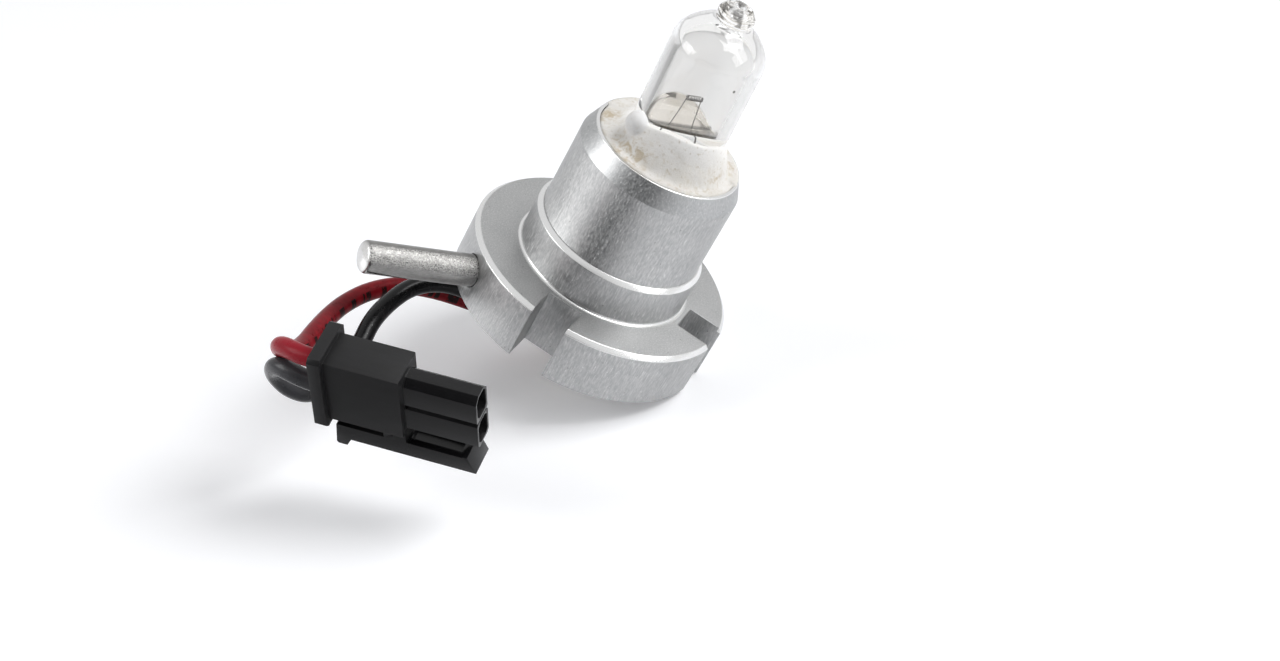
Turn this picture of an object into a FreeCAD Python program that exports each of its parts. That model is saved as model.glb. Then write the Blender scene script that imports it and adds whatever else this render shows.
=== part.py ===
# Halogen lamp with lever pin and plug
#
# A prefocused lamp for the light path of a spectrophotometer. A turned aluminium holder
# seats on its flange, two milled slots index it, and a steel pin in the flange's side
# is the lever that turns it home. The quartz capsule is cemented into the holder's nose.
# Two leads leave the back and end in a two-way plug with a latch.
#
# Frame: millimetres, +Z along the holder towards the bulb, the origin on the holder's
# axis in the upper face of the flange, the slots towards -Y and +X.

import FreeCAD
import Part
import Sketcher
import math
import os

os.makedirs("parts", exist_ok=True)
doc = FreeCAD.newDocument("halogen_lamp")
V = FreeCAD.Vector

# Sizes

TABLE = [
    ("flange_radius", 12.65, "outer radius of the seating flange"),
    ("flange_thickness", 5.6, "flange, upper face to underside"),
    ("flange_break", 0.3, "chamfer on the flange's upper edge"),
    ("under_break", 0.15, "chamfer on the flange's lower edge"),
    ("boss_radius", 8.3, "locating boss above the flange"),
    ("boss_height", 4.2, "top of the boss"),
    ("boss_break", 0.35, "chamfer on the boss"),
    ("boss_step", 0.5, "the barrel is this much smaller in radius"),
    ("barrel_height", 12.3, "where the nose starts to taper"),
    ("nose_taper", 0.78, "how far the nose draws in"),
    ("nose_height", 14.1, "top of the nose's rim"),
    ("nose_rim", 0.27, "wall at the nose's rim"),
    ("pocket_depth", 8.1, "pocket for the front cement"),
    ("pocket_ledge", 1.95, "ledge between that pocket and the bore"),
    ("rear_radius", 6.4, "pocket for the rear potting"),
    ("rear_depth", 3.0, "pocket for the rear potting"),
    ("slot_width", 3.5, "each milled slot"),
    ("slot_depth", 3.65, "slot, from the flange's edge to its flat floor"),
    ("slot_corner", 0.15, "radius in the slot's two inner corners"),
    ("slot_count", 2, "slots a quarter turn apart"),
    ("pin_radius", 1.5, "lever pin"),
    ("pin_depth", 4.45, "lever pin inside the flange"),
    ("pin_reach", 10.9, "lever pin outside the flange"),
    ("pin_edge", 0.45, "rounding at the pin's free end"),
    ("pin_crown", 0.2, "rise of the pin's free end"),
    ("pin_azimuth", -135.6, "direction of the pin, degrees"),
    ("bulb_stand", 2.4, "from the nose's rim up to where the quartz is round"),
    ("bulb_lean", 2.2, "tilt of the quartz in its cement, degrees"),
    ("bulb_turn", 45, "direction of the pinch's width, degrees"),
    ("bulb_radius", 4.34, "outside of the quartz"),
    ("wall", 1.18, "quartz wall"),
    ("dome_start", 8.05, "where the dome starts"),
    ("dome_rise", 3.45, "height of the dome"),
    ("dome_shoulder", 2.2, "shoulder radius of the dome"),
    ("tip_neck", 1.42, "waist under the sealed exhaust tip"),
    ("tip_radius", 1.76, "sealed exhaust tip"),
    ("tip_height", 1.38, "exhaust tip above the dome"),
    ("tip_round", 0.66, "rounding on the tip's edge"),
    ("pinch_half", 1.6, "half thickness of the pinch"),
    ("pinch_top", -2.8, "where the flattening ends"),
    ("pinch_bottom", -8.0, "lower end of the pinch"),
    ("gas_floor", 0.2, "lowest line of the gas space"),
    ("gas_corner", 2.3, "where that floor meets the wall"),
    ("coil_height", 3.25, "filament's axis"),
    ("coil_length", 1.5, "filament, end to end"),
    ("coil_radius", 0.215, "filament, to the middle of its wire"),
    ("coil_turns", 9, "turns in the filament"),
    ("coil_wire", 0.05, "radius of the filament's wire"),
    ("leg_wire", 0.065, "radius of the filament's legs"),
    ("foil_length", 4.6, "sealing foil"),
    ("foil_width", 1.5, "sealing foil"),
    ("foil_thickness", 0.12, "sealing foil"),
    ("foil_top", -0.9, "upper edge of the foils"),
    ("contact_pitch", 4.0, "between the two contact pins"),
    ("contact_radius", 0.35, "contact pin"),
    ("ferrule_radius", 0.85, "ferrule that joins a pin to its lead"),
    ("ferrule_length", 7.1, "ferrule"),
    ("ferrule_bore", 3.1, "how far the contact pin enters the ferrule"),
    ("sleeve_wall", 0.4, "insulating sleeve over a ferrule"),
    ("sleeve_length", 7.6, "insulating sleeve"),
    ("cement_climb", 2.1, "how far the front cement climbs the quartz"),
    ("cement_low", 0.03, "cement's edge under the nose's rim"),
    ("bead_radius", 1.15, "stray bead of cement beside the bulb"),
    ("potting_recess", 0.3, "rear potting short of the flange's underside"),
    ("potting_grip", 0.35, "how far the ferrules stand in the potting"),
    ("lead_radius", 0.85, "insulated lead"),
    ("plug_length", 14.1, "plug, wire end to mating end"),
    ("collar_length", 1.1, "collar at the wire end"),
    ("collar_height", 8.0, "collar"),
    ("collar_width", 5.0, "collar"),
    ("collar_break", 0.35, "chamfer on the collar's long edges"),
    ("body_end", 7.7, "where the body steps down to the barrels"),
    ("body_height", 6.7, "plug body"),
    ("body_width", 3.7, "plug body"),
    ("circuit_upper", 1.42, "height of the upper circuit"),
    ("circuit_pitch", 3.0, "from the upper circuit down to the lower one"),
    ("cell_height", 2.9, "each barrel of the plug"),
    ("cell_width", 2.35, "each barrel of the plug"),
    ("cell_break", 0.45, "chamfer on the barrels' outer corners"),
    ("mouth_width", 1.45, "opening at the mating end"),
    ("mouth_height", 1.7, "opening at the mating end"),
    ("throat_room", 0.12, "room round a lead in the wire end's cell"),
    ("throat_depth", 6.0, "depth of the wire end's cell"),
    ("latch_width", 2.9, "latch arm"),
    ("latch_gap", 1.05, "gap between the body and the latch arm"),
    ("latch_arm", 1.6, "thickness of the latch arm"),
    ("latch_heel", 0.8, "finger pad under the arm's rear end"),
    ("latch_hinge", 2.0, "length of the web that carries the arm"),
    ("latch_window", 0.75, "depth of the catch's pocket in the arm"),
    ("catch_width", 1.6, "the catch's pocket in the arm"),
    ("key_depth", 0.5, "keying rib under the lower barrel"),
    ("key_width", 0.8, "keying rib"),
    ("wire_stop", 1.0, "how far a lead enters the plug"),
    ("crimp_radius", 0.7, "terminal's crimp, behind its socket"),
    ("socket_wall", 0.3, "wall of a terminal's socket"),
    ("socket_recess", 1.1, "terminal behind the plug's mating end"),
]


class Size:
    """A number from the sheet together with the expression that names it."""

    def __init__(self, value, text):
        self.value = float(value)
        self.text = text

    def __add__(self, other):
        other = as_size(other)
        return Size(self.value + other.value, "(" + self.text + " + " + other.text + ")")

    def __sub__(self, other):
        other = as_size(other)
        return Size(self.value - other.value, "(" + self.text + " - " + other.text + ")")

    def __mul__(self, other):
        other = as_size(other)
        return Size(self.value * other.value, "(" + self.text + " * " + other.text + ")")

    def __truediv__(self, other):
        other = as_size(other)
        return Size(self.value / other.value, "(" + self.text + " / " + other.text + ")")

    def __neg__(self):
        return Size(-self.value, "(0 - " + self.text + ")")

    def __radd__(self, other):
        return as_size(other) + self

    def __rsub__(self, other):
        return as_size(other) - self


def as_size(number):
    if isinstance(number, Size):
        return number
    return Size(number, repr(float(number)))


class Sizes:
    """The sheet's names as attributes."""


sheet = doc.addObject("Spreadsheet::Sheet", "Sizes")
s = Sizes()
rows = 0


def enter(alias, cell, value, note):
    """Write one row of the sheet and keep its size under the same name."""
    global rows
    rows += 1
    sheet.set("A%d" % rows, alias)
    sheet.set("B%d" % rows, cell)
    sheet.set("C%d" % rows, note)
    sheet.setAlias("B%d" % rows, alias)
    setattr(s, alias, Size(value, "Sizes." + alias))


def follow(alias, size, note):
    """A row that follows from the rows above it."""
    enter(alias, "=" + size.text.replace("Sizes.", ""), size.value, note)


for alias, number, note in TABLE:
    enter(alias, str(number), number, note)


def dome(name, radius, rise, shoulder):
    """Radius of the crown over a shoulder, and the point where the two arcs meet."""
    inset = radius - shoulder
    top = (inset * inset + rise * rise - shoulder * shoulder) / ((rise - shoulder) * 2)
    follow(name + "_crown", top, "radius of the crown")
    crown = getattr(s, name + "_crown")
    follow(name + "_meet_x", inset * crown / (crown - shoulder), "where crown and shoulder meet")
    meet = s.dome_start + shoulder * (crown - rise) / (crown - shoulder)
    follow(name + "_meet_z", meet, "where crown and shoulder meet")


follow("barrel_radius", s.boss_radius - s.boss_step, "barrel above the boss")
follow("nose_radius", s.barrel_radius - s.nose_taper, "rim of the nose")
follow("pocket_radius", s.nose_radius - s.nose_rim, "pocket for the front cement")
follow("pocket_floor", s.nose_height - s.pocket_depth, "floor of that pocket")
follow("bore_radius", s.pocket_radius - s.pocket_ledge, "bore between the two pockets")
follow("rear_roof", s.rear_depth - s.flange_thickness, "roof of the rear pocket")
follow("slot_floor", s.flange_radius - s.slot_depth, "slot's floor, from the axis")
follow("pin_seat", s.flange_radius - s.pin_depth, "bottom of the pin's hole, from the axis")
follow("pin_level", s.flange_thickness / -2, "pin's axis")
follow("pin_length", s.pin_depth + s.pin_reach, "whole pin")
follow("pivot", s.nose_height + s.bulb_stand, "the bulb's own origin, on the holder's axis")
follow("gas_radius", s.bulb_radius - s.wall, "gas space")
follow("gas_rise", s.dome_rise - s.wall, "gas space's dome")
follow("gas_shoulder", s.dome_shoulder - s.wall, "gas space's dome")
dome("dome", s.bulb_radius, s.dome_rise, s.dome_shoulder)
dome("gas", s.gas_radius, s.gas_rise, s.gas_shoulder)
follow("dome_top", s.dome_start + s.dome_rise, "top of the dome")
follow("tip_top", s.dome_top + s.tip_height, "top of the exhaust tip")
follow("foil_bottom", s.foil_top - s.foil_length, "lower edge of the foils")
follow("foot", s.rear_roof - s.potting_grip - s.pivot, "lower end of the ferrules")
follow("contact_tip", s.foot + s.ferrule_length - s.ferrule_bore, "contact pin's end")
follow("contact_length", s.foil_bottom - s.contact_tip, "contact pin")
follow("potting_depth", s.rear_depth - s.potting_recess, "rear potting")
follow("circuit_lower", s.circuit_upper - s.circuit_pitch, "height of the lower circuit")
follow("throat", s.lead_radius * 2 + s.throat_room * 2, "square cell at the wire end")
follow("latch_top", s.latch_gap * -1 - s.body_height / 2, "upper face of the latch arm")
follow("latch_bottom", s.latch_top - s.latch_arm, "lower face of the latch arm")
doc.recompute()


# Helpers

def bind(thing, prop, size):
    size = as_size(size)
    thing.setExpression(prop, size.text)


def plane(body, role):
    """One of the body's own origin planes or axes."""
    found = [item for item in body.Origin.OriginFeatures if item.Role == role]
    return found[0]


def new_body(name):
    body = doc.addObject("PartDesign::Body", name)
    body.Label = name
    return body


def new_sketch(body, name, role, rise=0.0):
    sketch = body.newObject("Sketcher::SketchObject", name)
    sketch.AttachmentSupport = [(plane(body, role), "")]
    sketch.MapMode = "FlatFace"
    sketch.AttachmentOffset = FreeCAD.Placement(V(0, 0, rise), FreeCAD.Rotation())
    return sketch


def pin_corner(sketch, geometry, place, corner):
    """Hold one corner at the two distances the sheet gives for it."""
    for kind, axis, size in (("DistanceX", -2, corner[0]), ("DistanceY", -1, corner[1])):
        size = as_size(size)
        if abs(size.value) < 1e-9:
            sketch.addConstraint(Sketcher.Constraint("PointOnObject", geometry, place, axis))
        else:
            held = Sketcher.Constraint(kind, -1, 1, geometry, place, size.value)
            number = sketch.addConstraint(held)
            sketch.setExpression("Constraints[%d]" % number, size.text)


def outline(sketch, corners, arcs=None):
    """Close a loop through the corners. arcs gives side number: (radius, +1 left or -1 right)."""
    arcs = arcs or {}
    count = len(corners)
    first = sketch.GeometryCount
    spots = [V(as_size(x).value, as_size(y).value, 0) for x, y in corners]
    ends = []
    for i in range(count):
        a = spots[i]
        b = spots[(i + 1) % count]
        if i in arcs:
            radius, side = arcs[i]
            radius = as_size(radius)
            middle = (a + b) * 0.5
            half = (b - a).Length / 2
            normal = V(-(b - a).y, (b - a).x, 0).normalize() * side
            centre = middle + normal * math.sqrt(max(radius.value ** 2 - half ** 2, 0))
            start, stop = (a, b) if side > 0 else (b, a)
            one = math.atan2((start - centre).y, (start - centre).x)
            two = math.atan2((stop - centre).y, (stop - centre).x)
            circle = Part.Circle(centre, V(0, 0, 1), radius.value)
            sketch.addGeometry(Part.ArcOfCircle(circle, one, two))
            ends.append((1, 2) if side > 0 else (2, 1))
        else:
            sketch.addGeometry(Part.LineSegment(a, b))
            ends.append((1, 2))
    for i in range(count):
        j = (i + 1) % count
        joint = Sketcher.Constraint("Coincident", first + i, ends[i][1], first + j, ends[j][0])
        sketch.addConstraint(joint)
    for i in range(count):
        pin_corner(sketch, first + i, ends[i][0], corners[i])
    for i, (radius, side) in arcs.items():
        radius = as_size(radius)
        number = sketch.addConstraint(Sketcher.Constraint("Radius", first + i, radius.value))
        sketch.setExpression("Constraints[%d]" % number, radius.text)


def turned(body, name, corners, arcs=None):
    """Revolve a half section, drawn as (radius, height), about the body's Z axis."""
    sketch = new_sketch(body, name + "_section", "XZ_Plane")
    outline(sketch, corners, arcs)
    doc.recompute()
    feature = body.newObject("PartDesign::Revolution", name)
    feature.Profile = sketch
    feature.ReferenceAxis = (sketch, ["V_Axis"])
    feature.Angle = 360
    doc.recompute()
    return feature


def both_ways(body, kind, name, sketch, length):
    """Pad or pocket a sketch by half the length to each side of its plane."""
    feature = body.newObject("PartDesign::" + kind, name)
    feature.Profile = sketch
    feature.SideType = "Symmetric"
    bind(feature, "Length", length)
    doc.recompute()
    return feature


def one_way(body, kind, name, sketch, length):
    feature = body.newObject("PartDesign::" + kind, name)
    feature.Profile = sketch
    bind(feature, "Length", length)
    doc.recompute()
    return feature


def rectangle(sketch, x, y, width, height):
    """A rectangle centred on x and y."""
    x, y, width, height = [as_size(item) for item in (x, y, width, height)]
    low_x, high_x = x - width / 2, x + width / 2
    low_y, high_y = y - height / 2, y + height / 2
    outline(sketch, [(low_x, low_y), (high_x, low_y), (high_x, high_y), (low_x, high_y)])


def rod(name, radius, length, place):
    thing = doc.addObject("Part::Cylinder", name)
    thing.Label = name
    bind(thing, "Radius", radius)
    bind(thing, "Height", length)
    thing.Placement = place
    return thing


def block(name, length, width, height, place):
    """A block standing on its place, centred sideways on it."""
    length, width, height = [as_size(item) for item in (length, width, height)]
    thing = doc.addObject("Part::Box", name)
    thing.Label = name
    bind(thing, "Length", length)
    bind(thing, "Width", width)
    bind(thing, "Height", height)
    shift = FreeCAD.Placement(V(-length.value / 2, -width.value / 2, 0), FreeCAD.Rotation())
    thing.Placement = place * shift
    return thing


def cut(name, base, tool):
    thing = doc.addObject("Part::Cut", name)
    thing.Label = name
    thing.Base = base
    thing.Tool = tool
    return thing


def fuse(name, pieces):
    thing = doc.addObject("Part::MultiFuse", name)
    thing.Label = name
    thing.Shapes = pieces
    return thing


def at(x, y, z, rotation=None):
    return FreeCAD.Placement(V(x, y, z), rotation or FreeCAD.Rotation())


# Where the three groups stand

lean_axis = V(math.cos(math.radians(278)), math.sin(math.radians(278)), 0)
lean = FreeCAD.Rotation(lean_axis, s.bulb_lean.value)
turn = FreeCAD.Rotation(V(0, 0, 1), s.bulb_turn.value)
bulb_place = FreeCAD.Placement(V(0, 0, s.pivot.value), lean * turn)
plug_place = FreeCAD.Placement(V(-11.7, -30.7, -4.5), FreeCAD.Rotation(4.2, -20.0, 17.2))

# Holder: one turned piece, then the slots and the pin's hole

holder = new_body("lamp_holder")
turned(holder, "turning", [
    (s.rear_radius, -s.flange_thickness),
    (s.flange_radius - s.under_break, -s.flange_thickness),
    (s.flange_radius, -s.flange_thickness + s.under_break),
    (s.flange_radius, -s.flange_break),
    (s.flange_radius - s.flange_break, 0),
    (s.boss_radius, 0),
    (s.boss_radius, s.boss_height - s.boss_break),
    (s.boss_radius - s.boss_break, s.boss_height),
    (s.barrel_radius, s.boss_height),
    (s.barrel_radius, s.barrel_height),
    (s.nose_radius, s.nose_height),
    (s.pocket_radius, s.nose_height),
    (s.pocket_radius, s.pocket_floor),
    (s.bore_radius, s.pocket_floor),
    (s.bore_radius, s.rear_roof),
    (s.rear_radius, s.rear_roof),
])

slot_plan = new_sketch(holder, "slot_plan", "XY_Plane")
half = s.slot_width / 2
outline(slot_plan, [
    (-half, -s.flange_radius - 1),
    (half, -s.flange_radius - 1),
    (half, -s.slot_floor - s.slot_corner),
    (half - s.slot_corner, -s.slot_floor),
    (s.slot_corner - half, -s.slot_floor),
    (-half, -s.slot_floor - s.slot_corner),
], {2: (s.slot_corner, 1), 4: (s.slot_corner, 1)})
doc.recompute()
slot = both_ways(holder, "Pocket", "slot", slot_plan, s.flange_thickness * 4)
pattern = holder.newObject("PartDesign::PolarPattern", "slots")
pattern.Originals = [slot]
pattern.Axis = (plane(holder, "Z_Axis"), [""])
pattern.Mode = "Spacing"
pattern.Offset = 90
bind(pattern, "Occurrences", s.slot_count)
holder.Tip = pattern
doc.recompute()

azimuth = math.radians(s.pin_azimuth.value)
outward = V(math.cos(azimuth), math.sin(azimuth), 0)
toward_pin = FreeCAD.Rotation(V(0, 0, 1), outward)
pin_start = outward * s.pin_seat.value + V(0, 0, s.pin_level.value)
pin_hole = holder.newObject("PartDesign::SubtractiveCylinder", "pin_hole")
pin_hole.AttachmentSupport = [(plane(holder, "XY_Plane"), "")]
pin_hole.MapMode = "FlatFace"
pin_hole.AttachmentOffset = FreeCAD.Placement(pin_start, toward_pin)
bind(pin_hole, "Radius", s.pin_radius)
bind(pin_hole, "Height", s.flange_radius)
doc.recompute()

# Lever pin

lever = new_body("lever_pin")
turned(lever, "pin_turning", [
    (0, 0),
    (s.pin_radius, 0),
    (s.pin_radius, s.pin_length - s.pin_crown - s.pin_edge),
    (s.pin_radius - s.pin_edge, s.pin_length - s.pin_crown),
    (0, s.pin_length),
], {2: (s.pin_edge, 1)})
lever.Placement = FreeCAD.Placement(pin_start, toward_pin)

# Quartz: the outside, then the gas space inside it

glass = new_body("bulb_outside")
turned(glass, "glass_turning", [
    (0, s.pinch_bottom),
    (s.bulb_radius, s.pinch_bottom),
    (s.bulb_radius, s.dome_start),
    (s.dome_meet_x, s.dome_meet_z),
    (0, s.dome_top),
], {2: (s.dome_shoulder, 1), 3: (s.dome_crown, 1)})
turned(glass, "tip_turning", [
    (0, s.dome_top - s.wall / 2),
    (s.tip_neck, s.dome_top - s.wall / 2),
    (s.tip_neck, s.dome_top + 0.15),
    (s.tip_radius, s.dome_top + s.tip_height * 0.42),
    (s.tip_radius, s.tip_top - s.tip_round),
    (s.tip_radius - s.tip_round, s.tip_top),
    (0, s.tip_top),
], {4: (s.tip_round, 1)})
press = new_sketch(glass, "press_section", "YZ_Plane")
for side in (1, -1):
    outline(press, [
        (s.pinch_half * side, s.pinch_top),
        (s.pinch_half * side, s.pinch_bottom - 1),
        ((s.bulb_radius + 1) * side, s.pinch_bottom - 1),
        ((s.bulb_radius + 1) * side, -0.3),
        (s.bulb_radius * side, -0.3),
    ])
doc.recompute()
both_ways(glass, "Pocket", "press", press, s.bulb_radius * 3)
glass.Placement = bulb_place

gas = new_body("gas_space")
turned(gas, "gas_turning", [
    (0, s.gas_floor),
    (s.gas_radius, s.gas_floor),
    (s.gas_radius, s.dome_start),
    (s.gas_meet_x, s.gas_meet_z),
    (0, s.dome_start + s.gas_rise),
], {2: (s.gas_shoulder, 1), 3: (s.gas_crown, 1)})
fold = new_sketch(gas, "fold_section", "YZ_Plane")
for side in (1, -1):
    outline(fold, [
        (0.3 * side, s.gas_floor - 0.5),
        (s.bulb_radius * side, s.gas_floor - 0.5),
        (s.bulb_radius * side, s.gas_corner),
        (0.3 * side, s.gas_floor),
    ])
doc.recompute()
both_ways(gas, "Pocket", "fold", fold, s.bulb_radius * 3)
gas.Placement = bulb_place

# Filament: one wire, coiled in the middle, its two legs sealed in the pinch

coil_path = doc.addObject("Part::Helix", "coil_path")
bind(coil_path, "Pitch", s.coil_length / s.coil_turns)
bind(coil_path, "Height", s.coil_length)
bind(coil_path, "Radius", s.coil_radius)
lying = FreeCAD.Rotation(V(0, 0, 1), V(1, 0, 0))
coil_path.Placement = FreeCAD.Placement(V(-s.coil_length.value / 2, 0, s.coil_height.value), lying)
coil_section = doc.addObject("Part::Circle", "coil_section")
bind(coil_section, "Radius", s.coil_wire)
doc.recompute()
begin = coil_path.Shape.Edges[0].Vertexes[0].Point
tangent = coil_path.Shape.Edges[0].tangentAt(coil_path.Shape.Edges[0].FirstParameter)
coil_section.Placement = FreeCAD.Placement(begin, FreeCAD.Rotation(V(0, 0, 1), tangent))
coil = doc.addObject("Part::Sweep", "coil")
coil.Sections = [coil_section]
coil.Spine = (coil_path, ["Edge1"])
coil.Solid = True
coil.Frenet = True
doc.recompute()


def bent_wire(points):
    """Straight runs joined by tangent arcs, and the arcs' radii."""
    points = [V(*p) for p in points]
    edges = []
    radii = []
    here = points[0]
    for i in range(1, len(points) - 1):
        back = points[i - 1] - points[i]
        ahead = points[i + 1] - points[i]
        short = min(back.Length, ahead.Length)
        back.normalize()
        ahead.normalize()
        bend = math.pi - back.getAngle(ahead)
        reach = 0.45 * short
        radius = reach / math.tan(bend / 2)
        start = points[i] + back * reach
        stop = points[i] + ahead * reach
        inward = (back + ahead).normalize()
        middle = points[i] + inward * (radius / math.cos(bend / 2) - radius)
        edges.append(Part.LineSegment(here, start).toShape())
        edges.append(Part.Arc(start, middle, stop).toShape())
        radii.append(radius)
        here = stop
    edges.append(Part.LineSegment(here, points[-1]).toShape())
    return Part.Wire(edges), radii


def round_wire(points, radius):
    path, radii = bent_wire(points)
    heading = V(*points[1]) - V(*points[0])
    ring = Part.Wire([Part.makeCircle(radius, V(*points[0]), heading)])
    solid = path.makePipeShell([ring], True, True)
    return solid, path.Length, radii


legs = []
ends = [coil_path.Shape.Edges[0].valueAt(coil_path.Shape.Edges[0].FirstParameter),
        coil_path.Shape.Edges[-1].valueAt(coil_path.Shape.Edges[-1].LastParameter)]
seal = (s.contact_pitch.value - s.foil_width.value) / 2 + s.leg_wire.value
for name, side, top in (("leg_left", -1, ends[0]), ("leg_right", 1, ends[1])):
    knee = (side * (seal - 0.25), 0, s.gas_floor.value + 0.5)
    run = [(top.x, top.y, top.z + 0.03), knee]
    run += [(side * seal, 0, s.foil_top.value + drop) for drop in (0.55, 0)]
    leg = doc.addObject("Part::Feature", name)
    leg.Shape = round_wire(run, s.leg_wire.value)[0]
    legs.append(leg)
filament = fuse("filament", [coil] + legs)
filament.Placement = bulb_place

# Foils and contact pins

foils = []
contacts = []
ferrules = []
sleeves = []
for word, side in (("left", -1), ("right", 1)):
    x = side * s.contact_pitch.value / 2
    foils.append(block("foil_" + word, s.foil_width, s.foil_thickness, s.foil_length,
                       bulb_place * at(x, 0, s.foil_bottom.value)))
    tip = bulb_place * at(x, 0, s.contact_tip.value)
    foot = bulb_place * at(x, 0, s.foot.value)
    contacts.append(rod("contact_pin_" + word, s.contact_radius, s.contact_length, tip))
    whole = rod("ferrule_whole_" + word, s.ferrule_radius, s.ferrule_length, foot)
    socket = rod("ferrule_socket_" + word, s.contact_radius, s.ferrule_bore, tip)
    ferrules.append(cut("ferrule_" + word, whole, socket))
    tube = rod("sleeve_tube_" + word, s.ferrule_radius + s.sleeve_wall, s.sleeve_length, foot)
    inside = rod("sleeve_inside_" + word, s.ferrule_radius, s.sleeve_length, foot)
    sleeves.append(cut("sleeve_" + word, tube, inside))

leg_tools = []
for leg in legs:
    tool = doc.addObject("Part::Feature", leg.Name + "_seat")
    tool.Shape = leg.Shape
    tool.Placement = bulb_place
    leg_tools.append(tool)
hollows = fuse("hollows", [gas] + leg_tools + foils + contacts)
envelope = cut("bulb_envelope", glass, hollows)

# Front cement: fills the nose and climbs to the quartz, with one bead beside the bulb

fill = new_body("cement_fill")
cement_top = s.nose_height + s.cement_climb
turned(fill, "cement_turning", [
    (0, s.pocket_floor),
    (s.pocket_radius, s.pocket_floor),
    (s.pocket_radius, s.nose_height - s.cement_low),
    (s.pocket_radius - 0.9, s.nose_height + s.cement_climb * 0.1),
    (s.bulb_radius + 0.8, s.nose_height + s.cement_climb * 0.48),
    (s.bulb_radius + 0.2, cement_top),
    (0, cement_top),
])
bead = doc.addObject("Part::Sphere", "cement_bead")
bind(bead, "Radius", s.bead_radius)
bead_turn = math.radians(230)
bead_reach = s.bulb_radius.value - 0.25
bead_place = (bead_reach * math.cos(bead_turn), bead_reach * math.sin(bead_turn), s.nose_height.value + 1.85)
bead.Placement = at(*bead_place)
cement_whole = fuse("cement_whole", [fill, bead])
quartz_and_pins = fuse("quartz_and_pins", [glass] + contacts)
front_cement = cut("front_cement", cement_whole, quartz_and_pins)

# Leads: each runs from its ferrule, out of the back, round and into the plug

def from_ferrule(side):
    x = side * s.contact_pitch.value / 2
    top = bulb_place.multVec(V(x, 0, s.foot.value))
    low = bulb_place.multVec(V(x, 0, s.foot.value - s.rear_depth.value))
    return [(top.x, top.y, top.z), (low.x, low.y, low.z)]


def into_plug(height, back):
    before = plug_place.multVec(V(-back, 0, height.value))
    stop = plug_place.multVec(V(s.wire_stop.value, 0, height.value))
    return [(before.x, before.y, before.z), (stop.x, stop.y, stop.z)]


RED_ROUTE = from_ferrule(1) + [
    (0.1, 0.1, -8.2), (-4.3, -1.6, -9.4), (-9.4, -3.2, -9.8), (-12.2, -5.2, -9.5),
    (-14.3, -7.6, -9.2), (-16.0, -10.9, -9.3), (-16.75, -14.6, -9.4), (-16.7, -18.1, -9.2),
    (-16.35, -21.3, -8.8), (-15.95, -24.0, -8.5), (-15.9, -26.3, -7.9), (-16.3, -28.1, -7.0),
    (-16.4, -29.3, -5.9), (-15.6, -30.3, -4.8),
] + into_plug(s.circuit_upper, 1.5)
BLACK_ROUTE = from_ferrule(-1) + [
    (-2.0, -2.3, -7.6), (-5.1, -3.6, -8.0), (-8.6, -5.0, -7.3), (-11.4, -7.1, -6.9),
    (-13.1, -9.8, -7.3), (-13.6, -12.9, -8.0), (-13.55, -15.85, -8.6), (-12.85, -18.5, -9.5),
    (-12.6, -21.2, -10.4), (-12.6, -23.7, -11.1), (-13.3, -25.8, -11.4), (-14.6, -27.3, -10.75),
    (-15.7, -28.3, -9.65), (-16.15, -29.15, -8.4), (-15.5, -29.95, -7.15), (-14.15, -30.4, -6.6),
] + into_plug(s.circuit_lower, 1.3)

leads = []
for name, route in (("red_lead", RED_ROUTE), ("black_lead", BLACK_ROUTE)):
    lead = doc.addObject("Part::Feature", name)
    lead.Label = name
    lead.Shape, length, radii = round_wire(route, s.lead_radius.value)
    leads.append(lead)
    ideal = math.pi * s.lead_radius.value ** 2 * length
    print(name, "length", round(length, 1), "volume ratio", round(lead.Shape.Volume / ideal, 4))
    print("  radii", [round(r, 1) for r in radii])
    print("  route", [tuple(round(c, 2) for c in p) for p in route])

# Rear potting, cast round the ferrules' ends and the leads

potting_fill = rod("potting_fill", s.rear_radius, s.potting_depth,
                   at(0, 0, s.rear_roof.value - s.potting_depth.value))
potting_tools = fuse("potting_tools", leads + ferrules + sleeves)
rear_potting = cut("rear_potting", potting_fill, potting_tools)

# Plug: collar, body, two barrels, keying rib and latch in one moulding

plug = new_body("plug_housing")
side_view = new_sketch(plug, "body_side", "XZ_Plane")
rectangle(side_view, s.body_end / 2, 0, s.body_end, s.body_height)
doc.recompute()
both_ways(plug, "Pad", "plug_body", side_view, s.body_width)
collar_view = new_sketch(plug, "collar_face", "YZ_Plane")
tall = s.collar_height / 2
wide = s.collar_width / 2
outline(collar_view, [
    (s.collar_break - wide, -tall), (wide - s.collar_break, -tall),
    (wide, s.collar_break - tall), (wide, tall - s.collar_break),
    (wide - s.collar_break, tall), (s.collar_break - wide, tall),
    (-wide, tall - s.collar_break), (-wide, s.collar_break - tall),
])
doc.recompute()
one_way(plug, "Pad", "collar", collar_view, s.collar_length)

cell_view = new_sketch(plug, "cell_faces", "YZ_Plane", s.body_end.value)
bind(cell_view, "AttachmentOffset.Base.z", s.body_end)
reach = s.cell_width / 2
for centre, way in ((s.circuit_upper, 1), (s.circuit_lower, -1)):
    outer = centre + s.cell_height / 2 * way
    near = centre - s.cell_height / 2 * way
    outline(cell_view, [
        (-reach, near), (reach, near), (reach, outer - s.cell_break * way),
        (reach - s.cell_break, outer), (s.cell_break - reach, outer),
        (-reach, outer - s.cell_break * way),
    ])
doc.recompute()
one_way(plug, "Pad", "cells", cell_view, s.plug_length - s.body_end)

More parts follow.
